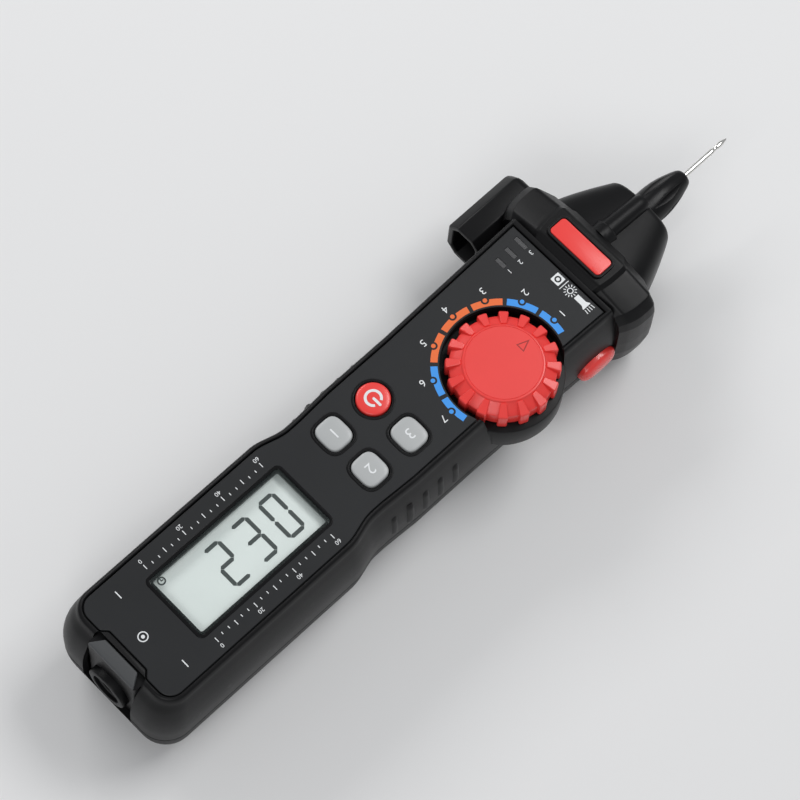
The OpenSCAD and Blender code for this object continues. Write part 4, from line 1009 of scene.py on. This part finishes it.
def nose_ring(t, side):
    """Half of the nose at a share of its length: a half superellipse that narrows, with sloping
    shoulders and a round front edge."""
    foot_w, tip_w, foot_h, tip_h, power, slope = 17.6, 10.4, 12.2, 9.2, 3.6, 0.9
    round_end = 0.45 * max(0, (t - 0.95) / 0.05) ** 2
    w = foot_w + (tip_w - foot_w) * t ** 1.25 - round_end
    h = foot_h + (tip_h - foot_h) * t - round_end
    a = np.radians(np.linspace(0, 180, 41))
    x = w * np.sign(np.cos(a)) * np.abs(np.cos(a)) ** (2 / power)
    z = h * np.abs(np.sin(a)) ** (2 / power)
    z = z - slope * np.abs(x / w) * (z / h)
    return surface(x, NOSE_LOW[1] + (NOSE_HIGH[1] - NOSE_LOW[1]) * t, AXIS_Z + side * (z + 0.06))


def torch_barrel():
    """The torch's barrel along the nose: a circle that sinks and narrows evenly towards the
    front, and a boss turned about Y at its foot."""
    foot_r, tip_r, foot_z, tip_z, boss_z = 3.05, 2.5, 32.08, 29.98, 30.98
    t = np.linspace(0, 1, 24)[:, None]
    r = foot_r + (tip_r - foot_r) * t
    r[-2:, 0] -= [0.05, 0.3]
    a = np.radians(np.arange(48) * 7.5)
    barrel = surface(r * np.cos(a), NOSE_LOW[1] + (NOSE_HIGH[1] - NOSE_LOW[1]) * t,
                     foot_z + (tip_z - foot_z) * t + r * np.sin(a))
    boss = along_y(lathe([[3.9, 0], [3.9, 2.9], [3.75, 3.25], [3.35, 3.5], [2.4, 3.5]], 64))
    return [grid(barrel, False), grid(boss + [0, NOSE_LOW[1], boss_z], False)]


class MESH_OT_meter_head(bpy.types.Operator):
    """Head: the collar with chamfered shoulders, the nose with its barrel, and the label"""
    bl_idname = "mesh.meter_head"
    bl_label = "Head"

    def execute(self, context):
        c = colours()
        black = moulded("head_black", c.case, 0.36, 0.000012)
        steps = np.r_[0, 0.015, np.linspace(0.04, 0.97, 32), 0.985, 1]
        collar = skin("head_collar_skin", [collar_ring(t) for t in steps], False)
        dress(collar, "meter", black, "black_case", "head_collar")

        steps = np.r_[0, 0.02, np.linspace(0.06, 0.95, 20), 0.975, 0.992, 1]
        for name, side, node, more in (("nose_top", 1, "nose_front", torch_barrel()),
                                       ("nose_under", -1, "nose_rear", [])):
            half = grid([nose_ring(t, side) for t in steps], side < 0)
            dress(make_mesh(name, half, *more), "meter", black, "black_case", node)

        y = (LABEL_LOW[1] + LABEL_HIGH[1]) / 2
        w, long = (RIM_HIGH - RIM_LOW)[:2] - 0.75
        rim = make_mesh("label_rim", band(
            round_rect(w, long, 1.6, 0, y, 10),
            round_profile(-0.32, 0.375, COLLAR_HIGH[2] - 0.3, RIM_HIGH[2], 0.15)))
        dress(rim, "meter", black, "black_plastic", "label_frame")
        w, long = (LABEL_HIGH - LABEL_LOW)[:2]
        top = LABEL_HIGH[2]
        label = stack("label_plate_skin",
                      lambda inset: round_rect(w - 2 * inset, long - 2 * inset, 1.2 - inset, 0, y),
                      ((0.1, LABEL_LOW[2]), (0.1, top - 0.15), (0.2, top - 0.03), (0.35, top)))
        dress(label, "meter", moulded("label_red", c.red, 0.3, 0.000003, 8000, 0.03, 0.3),
              "red_plastic", "label_plate")
        return {"FINISHED"}


class MESH_OT_meter_probe(bpy.types.Operator):
    """Probe: a sleeve that narrows with six flutes, and a plated needle with a neck"""
    bl_idname = "mesh.meter_probe"
    bl_label = "Probe"

    def execute(self, context):
        # Sleeve: a radius along its length, less a V-shaped flute every 60 degrees whose depth
        # swells and dies away as a sine
        rows = [[0, 4.9], [0.35, 4.88], [0.5, 4.66], [0.68, 4.05], [0.85, 3.2], [0.94, 2.66],
                [0.985, 2.15], [1, 1.7]]
        t = np.r_[np.linspace(0, 0.94, 70), 0.955, 0.97, 0.98, 0.988, 0.995, 1]
        a = np.radians(np.arange(180) * 2)
        swell = np.sin(np.pi * np.clip((t - 0.16) / 0.72, 0, 1))[:, None]
        off = (a + np.pi / 6) % (np.pi / 3) - np.pi / 6
        flute = 0.85 * swell * np.clip(1 - np.abs(off) / (0.001 + 0.24 * swell), 0, 1)
        r = smooth_rows(rows, t)[:, None] - flute
        r[:2] = [[4.6], [4.85]]
        body = surface(r * np.cos(a), SLEEVE_Y + (NEEDLE_Y - SLEEVE_Y) * t[:, None],
                       AXIS_Z + r * np.sin(a))
        sleeve = skin("probe_sleeve_skin", body, False, 22)
        dress(sleeve, "meter", moulded("sleeve_black", shade(colours().case, 1.2), 0.32),
              "black_plastic", "probe_sleeve")
        # Needle: rows of radius and place, its neck at two thirds of its length
        n = NEEDLE_TIP_Y - NEEDLE_Y
        profile = [[0.75, -2], [0.75, 0.66 * n], [0.73, 0.675 * n], [0.58, 0.69 * n],
                   [0.56, 0.72 * n], [0.58, 0.745 * n], [0.72, 0.76 * n], [0.75, 0.775 * n],
                   [0.75, n - 2.6], [0.66, n - 1.9], [0.42, n - 0.9], [0.2, n - 0.2],
                   [0.08, n - 0.02], [0.01, n]]
        needle = skin("probe_needle_skin", along_y(lathe(profile, 48)) + [0, NEEDLE_Y, AXIS_Z],
                      False, 50)
        dress(needle, "meter", polished("needle_plate", (0.86, 0.85, 0.82, 1), 0.2),
              "needle_nickel", "probe_needle")
        return {"FINISHED"}


class MESH_OT_meter_holder(bpy.types.Operator):
    """Holder: an eight-sided tube for a probe beside the collar, with an open pocket"""
    bl_idname = "mesh.meter_holder"
    bl_label = "Probe holder"

    def execute(self, context):
        x = (HOLDER_LOW[0] + HOLDER_HIGH[0]) / 2
        y0, y1 = HOLDER_LOW[1], HOLDER_HIGH[1]
        pocket = 7.8, 12.4, 2.6
        tube = (*(HOLDER_HIGH - HOLDER_LOW)[[0, 2]], 4)
        # From the pocket's floor out to its mouth, round the lip and along the outside
        rows = ((pocket, 0, y1 - 3.2), (pocket, 0, y0 + 0.5), (pocket, -0.3, y0 + 0.1),
                (tube, 0.45, y0), (tube, 0.1, y0 + 0.15), (tube, 0, y0 + 0.5),
                (tube, 0, y1 - 2.4), (tube, 0.15, y1 - 1.5), (tube, 0.6, y1 - 0.7),
                (tube, 1.3, y1 - 0.2), (tube, 2.4, y1))
        rings = [upright(octagon(*size, inset) + [x, AXIS_Z], y) for size, inset, y in rows]
        holder = skin("probe_holder_skin", rings, False, 40)
        dress(holder, "meter", moulded("holder_black", colours().case, 0.34), "black_plastic",
              "probe_holder")
        return {"FINISHED"}


class MESH_OT_meter_tail(bpy.types.Operator):
    """Tail: the socket's block with its round boss, and the grey insert in the notch"""
    bl_idname = "mesh.meter_tail"
    bl_label = "Tail"

    def execute(self, context):
        half, front, bore = 8.65, JACK_Y + 2.2, 2.81
        block = mirrored([[half, front], [half, BLOCK_END_Y]], [1, 0.2], 5)
        body = prism("jack_block_skin", block, 13.1, 34.7)
        at = [0, JACK_Y, AXIS_Z]
        carve(body, [skin("bore", along_y(lathe([[bore, -1], [bore, 8]], 64)) + at)])
        # Rows of radius and depth from the tail: the boss's outside, its lip, and the bore
        boss = lathe([[6.3, 3], [6.3, 0.5], [6.15, 0.15], [5.8, 0], [4.7, 0], [4.5, 0.15],
                      [4.5, 0.9], [bore + 0.3, 0.9], [bore, 1.1], [bore, 9.0], [0.05, 9.0]], 96)
        piece = join("jack_block_skin", [body, skin("boss", along_y(boss)[::-1] + at)])
        dress(piece, "meter", moulded("jack_black", colours().case, 0.4), "black_plastic",
              "jack_block")
        y0, y1, top = INSERT_LOW[1], INSERT_HIGH[1], INSERT_HIGH[2]
        insert = stack("tail_insert_skin", lambda inset: mirrored(
            [[8.4 - inset, y0 + inset], [5.9 - inset, y1 - inset]], [0.35, 0.6], 6),
            ((0, INSERT_LOW[2]), (0, top - 0.5), (0.1, top - 0.2), (0.35, top - 0.04), (0.6, top)))
        dress(insert, "meter", moulded("insert_grey", (0.055, 0.058, 0.061, 1), 0.55, 0.00004,
                                       3500), "grey_insert", "tail_insert")
        return {"FINISHED"}


class MESH_OT_meter_cover(bpy.types.Operator):
    """Battery cover: a flat cover with rounded edges, grip ridges and a screw hole"""
    bl_idname = "mesh.meter_cover"
    bl_label = "Battery cover"

    def execute(self, context):
        w, long = (COVER_HIGH - COVER_LOW)[:2]
        middle_y = (COVER_LOW[1] + COVER_HIGH[1]) / 2
        low, high = COVER_LOW[2], COVER_HIGH[2]
        cover = stack("battery_cover_skin",
                      lambda inset: round_rect(w - 2 * inset, long - 2 * inset, 1.8, 0, middle_y),
                      ((0.35, low), (0.1, low + 0.1), (0, low + 0.35), (0, high)))
        tools = [prism("groove", round_rect(14, 0.9, 0.4, 0, COVER_LOW[1] + 4 + 2.2 * i), -1,
                       low + 0.35) for i in range(6)]
        x, y, _ = middle("cover_screw")
        carve(cover, tools + [prism("screw", circle(x, y, SCREW_R, 48), -1, high + 1)])
        dress(cover, "battery_cover", moulded("cover_black", colours().case, 0.48, 0.00002),
              "black_plastic", "battery_cover")
        return {"FINISHED"}


class MESH_OT_meter_prints(bpy.types.Operator):
    """Printed marks: arcs and dots round the dial, plain numbers, a sun, a torch and scale lines"""
    bl_idname = "mesh.meter_prints"
    bl_label = "Printed marks"

    def execute(self, context):
        up = sizes().print_up
        inks = {"blue": [], "orange": [], "white": []}

        def draw(ink, *loops, at=lambda p: p):
            inks[ink].append(mark(loops, at, SHEET_TOP, up))

        def number(value, size, x, y):
            inks["white"].append(word(str(value), size, toward_needle(x, y), SHEET_TOP, up))

        # Arcs round the dial, each with a round notch for its dot where two circles cross
        arc_in, arc_out, dot_at, notch, number_at = 16.85, 18.7, 18.6, 1.12, 21.4
        edges = [76, 104, 134, 164, 196, 226, 256, 284]
        bend = math.acos((arc_out ** 2 - dot_at ** 2 - notch ** 2) / (2 * dot_at * notch))
        gap = math.degrees(math.asin(notch * math.sin(bend) / arc_out))
        bend = math.degrees(bend)
        for i, ink in enumerate(("blue", "blue", "orange", "orange", "orange", "blue", "blue")):
            at = 90 + 30 * i
            aim = np.array([math.cos(math.radians(at)), math.sin(math.radians(at))])
            a, b = edges[i] + 1.8, edges[i + 1] - 1.8
            dot = dot_at * aim
            loop = np.vstack([arc(0, 0, arc_out, b, at + gap, 10),
                              arc(*dot, notch, at + bend, at + 360 - bend, 16),
                              arc(0, 0, arc_out, at - gap, a, 10), arc(0, 0, arc_in, a, b, 24)])
            draw(ink, loop[::-1] + DIAL[:2])
            draw(ink, circle(*(dot + DIAL[:2]), 0.6, 28))
            number(i + 1, 2.9, *(DIAL[:2] + number_at * aim))
        for i, (x, y, w) in enumerate(lamp_bars()):
            number(i + 1, 2.0, x + w / 2 + 1.6, y)

        # Scales beside the display, and a dash past the end of each
        scale_x, pitch, dash_y = 12.3, 2.2, -96.4
        for side in (-1, 1):
            for i in range(19):
                x, y = side * scale_x, WINDOW_LOW[1] + pitch + pitch * i
                long = 1.5 if i % 3 == 0 else 0.8
                draw("white", round_rect(long, 0.22, 0.1, x + side * long / 2, y, 2))
                if i % 6 == 0:
                    number(10 * i // 3, 1.7, x + side * 2.7, y)
            draw("white", round_rect(2.4, 0.3, 0.1, side * 12.2, dash_y, 2))

        # A sun, a torch, a box with a ring and the socket's sign
        signs_y = 44.3
        sun, torch = toward_needle(6.5, signs_y), toward_needle(10.9, signs_y)
        box, socket = toward_needle(2.0, signs_y), toward_needle(0, -99.3)
        ray = np.array([[1.15, -0.12], [1.8, -0.12], [1.8, 0.12], [1.15, 0.12]])
        draw("white", ring_arc(0.62, 0.88, 0, 359.9, 28), at=sun)
        for i in range(12):
            draw("white", turned(ray, math.radians(30 * i)), at=sun)
        draw("white", fillet([[-0.8, -2.3], [0.8, -2.3], [0.8, 0.6], [1.45, 1.7], [-1.45, 1.7],
                              [-0.8, 0.6]], [0.15] * 6, 3), at=torch)
        for i in (-1.5, -0.5, 0.5, 1.5):
            foot, end, half = i * 0.72, i * 0.82, 0.11
            draw("white", [[foot - half, 2.0], [foot + half, 2.0], [end + half, 3.3],
                           [end - half, 3.3]], at=torch)
        draw("white", round_rect(0.22, 3.4, 0.08, 4.2, signs_y, 2))
        draw("white", round_rect(2.8, 2.8, 0.2, n=3), circle(0, 0, 0.95, 32), at=box)
        draw("white", circle(0, 0, 0.5, 24), at=box)
        draw("white", ring_arc(1.1, 1.4, 0, 359.9, 36), at=socket)
        draw("white", circle(0, 0, 0.5, 24), at=socket)
        for name, parts in inks.items():
            piece = make_mesh("print_" + name, *parts)
            dress(piece, "meter", printed("ink_" + name, getattr(colours(), name)), "grey_sheet")
        return {"FINISHED"}


class MESH_OT_meter_finishes(bpy.types.Operator):
    """Finishes of the frame's own pieces: metals, boards, lamps, cells and inner plastics"""
    bl_idname = "mesh.meter_finishes"
    bl_label = "Finishes of the frame"

    def execute(self, context):
        c = colours()
        black = moulded("inner_black", c.case, 0.45)
        plans = {
            "screw_steel": polished("screw_steel", (0.45, 0.45, 0.46, 1), 0.3),
            "needle_nickel": polished("inner_nickel", (0.7, 0.69, 0.66, 1), 0.25),
            "brass": polished("brass", (0.78, 0.5, 0.2, 1), 0.28),
            "green_board": moulded("green_board", (0.02, 0.16, 0.06, 1), 0.4),
            "dark_component": moulded("dark_component", (0.02, 0.02, 0.022, 1), 0.5),
            "white_plastic": moulded("white_plastic", (0.75, 0.75, 0.72, 1), 0.45),
            "zebra_rubber": moulded("zebra_rubber", (0.5, 0.4, 0.3, 1), 0.7),
            "light_plate": moulded("light_plate", (0.8, 0.83, 0.85, 1), 0.35),
            "smoked_bar": moulded("smoked_bar", (0.07, 0.07, 0.072, 1), 0.2, coat=0.3),
            "lamp_clear": moulded("lamp_clear", (0.85, 0.87, 0.88, 1), 0.1, coat=0.6),
            "fuse_glass": moulded("fuse_glass", (0.75, 0.77, 0.74, 1), 0.12),
            "cell_wrap": moulded("cell_wrap", (0.35, 0.16, 0.03, 1), 0.3, vary=0.2),
            "red_plastic": moulded("inner_red", c.red, 0.35),
            "grey_key": moulded("inner_key", c.key, 0.4),
            "grey_insert": moulded("inner_insert", (0.11, 0.12, 0.125, 1), 0.5),
            "clear_window": bpy.data.materials["window_clear"],
        }
        for row in frame["record"]["subparts"]:
            for slot in frame["nodes"][row["node"]].material_slots:
                slot.material = plans.get(row["material_slot"], black)
        return {"FINISHED"}


class MESH_OT_meter_stage(bpy.types.Operator):
    """Stage: a pale floor, soft lamps and the camera at the photograph's angle"""
    bl_idname = "mesh.meter_stage"
    bl_label = "Stage"

    def execute(self, context):
        scene = context.scene
        mesh = bpy.data.meshes.new("floor")
        mesh.from_pydata([(-4, -4, 0), (4, -4, 0), (4, 4, 0), (-4, 4, 0)], [], [(0, 1, 2, 3)])
        floor = bpy.data.objects.new("floor", mesh)
        floor.location.z = -0.0001
        scene.collection.objects.link(floor)
        s = Surface("floor", roughness=0.8)
        s.feed(base_color=s.blend(s.noise(3, 2), (0.83, 0.83, 0.83, 1), (0.86, 0.86, 0.86, 1)))
        floor.data.materials.append(s.material)

        camera = bpy.data.objects.new("camera", bpy.data.cameras.new("camera"))
        camera.data.lens = 154.51
        camera.data.sensor_width = 36
        camera.data.clip_end = 20
        # From the photograph: the camera's place, its right-hand side and its line of sight
        eye = Vector((0.20645, -0.26215, 0.84655))
        right = Vector((0.69565, 0.71696, 0.04515)).normalized()
        forward = Vector((-0.23818, 0.28949, -0.92708)).normalized()
        above = right.cross(forward)
        turn = Matrix((right, above, -forward)).transposed().to_4x4()
        camera.matrix_world = Matrix.Translation(eye) @ turn
        scene.collection.objects.link(camera)
        scene.camera = camera

        scene.world = bpy.data.worlds.new("studio")
        scene.world.use_nodes = True
        tree = scene.world.node_tree
        tree.nodes.clear()
        out = tree.nodes.new("ShaderNodeOutputWorld")
        sky = tree.nodes.new("ShaderNodeBackground")
        sky.inputs["Color"].default_value = (0.95, 0.97, 1.0, 1)
        sky.inputs["Strength"].default_value = 0.33
        tree.links.new(sky.outputs[0], out.inputs[0])
        aim = Vector((0, 0, 0.02))
        for name, place, size, power in (("soft_head", (0.1, 0.5, 0.82), 0.52, 3.3),
                                         ("soft_left", (-0.75, 0.1, 0.6), 0.5, 2.6),
                                         ("soft_front", (0.3, -0.7, 0.8), 0.6, 2.2)):
            lamp = bpy.data.objects.new(name, bpy.data.lights.new(name, "AREA"))
            lamp.data.shape = "RECTANGLE"
            lamp.data.size = size
            lamp.data.size_y = size * 0.6
            lamp.data.energy = power
            lamp.location = place
            lamp.rotation_euler = (aim - Vector(place)).to_track_quat("-Z", "Y").to_euler()
            scene.collection.objects.link(lamp)
        scene.view_settings.view_transform = "Standard"
        return {"FINISHED"}


STEPS = (MESH_OT_meter_stage, MESH_OT_meter_front, MESH_OT_meter_rear, MESH_OT_meter_sheet,
         MESH_OT_meter_display, MESH_OT_meter_dial, MESH_OT_meter_keys, MESH_OT_meter_button,
         MESH_OT_meter_head, MESH_OT_meter_probe, MESH_OT_meter_holder, MESH_OT_meter_tail,
         MESH_OT_meter_cover, MESH_OT_meter_prints, MESH_OT_meter_finishes)


class VIEW3D_PT_meter(bpy.types.Panel):
    """Sidebar list of the sizes, the colours and the steps"""
    bl_idname = "VIEW3D_PT_meter"
    bl_label = "Pen multimeter"
    bl_space_type = "VIEW_3D"
    bl_region_type = "UI"
    bl_category = "Meter"

    def draw(self, context):
        for group in (context.scene.meter_sizes, context.scene.meter_colours):
            for name in group.__annotations__:
                self.layout.prop(group, name)
        for step in STEPS:
            self.layout.operator(step.bl_idname)


CLASSES = (MeterSizes, MeterColours, *STEPS, VIEW3D_PT_meter)


def register():
    for item in CLASSES:
        bpy.utils.register_class(item)
    bpy.types.Scene.meter_sizes = bpy.props.PointerProperty(type=MeterSizes)
    bpy.types.Scene.meter_colours = bpy.props.PointerProperty(type=MeterColours)


def unregister():
    del bpy.types.Scene.meter_colours
    del bpy.types.Scene.meter_sizes
    for item in reversed(CLASSES):
        bpy.utils.unregister_class(item)


def main():
    """Builds everything in order."""
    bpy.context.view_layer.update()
    register()
    for step in STEPS:
        area, name = step.bl_idname.split(".")
        getattr(getattr(bpy.ops, area), name)()


if __name__ == "__main__":
    main()
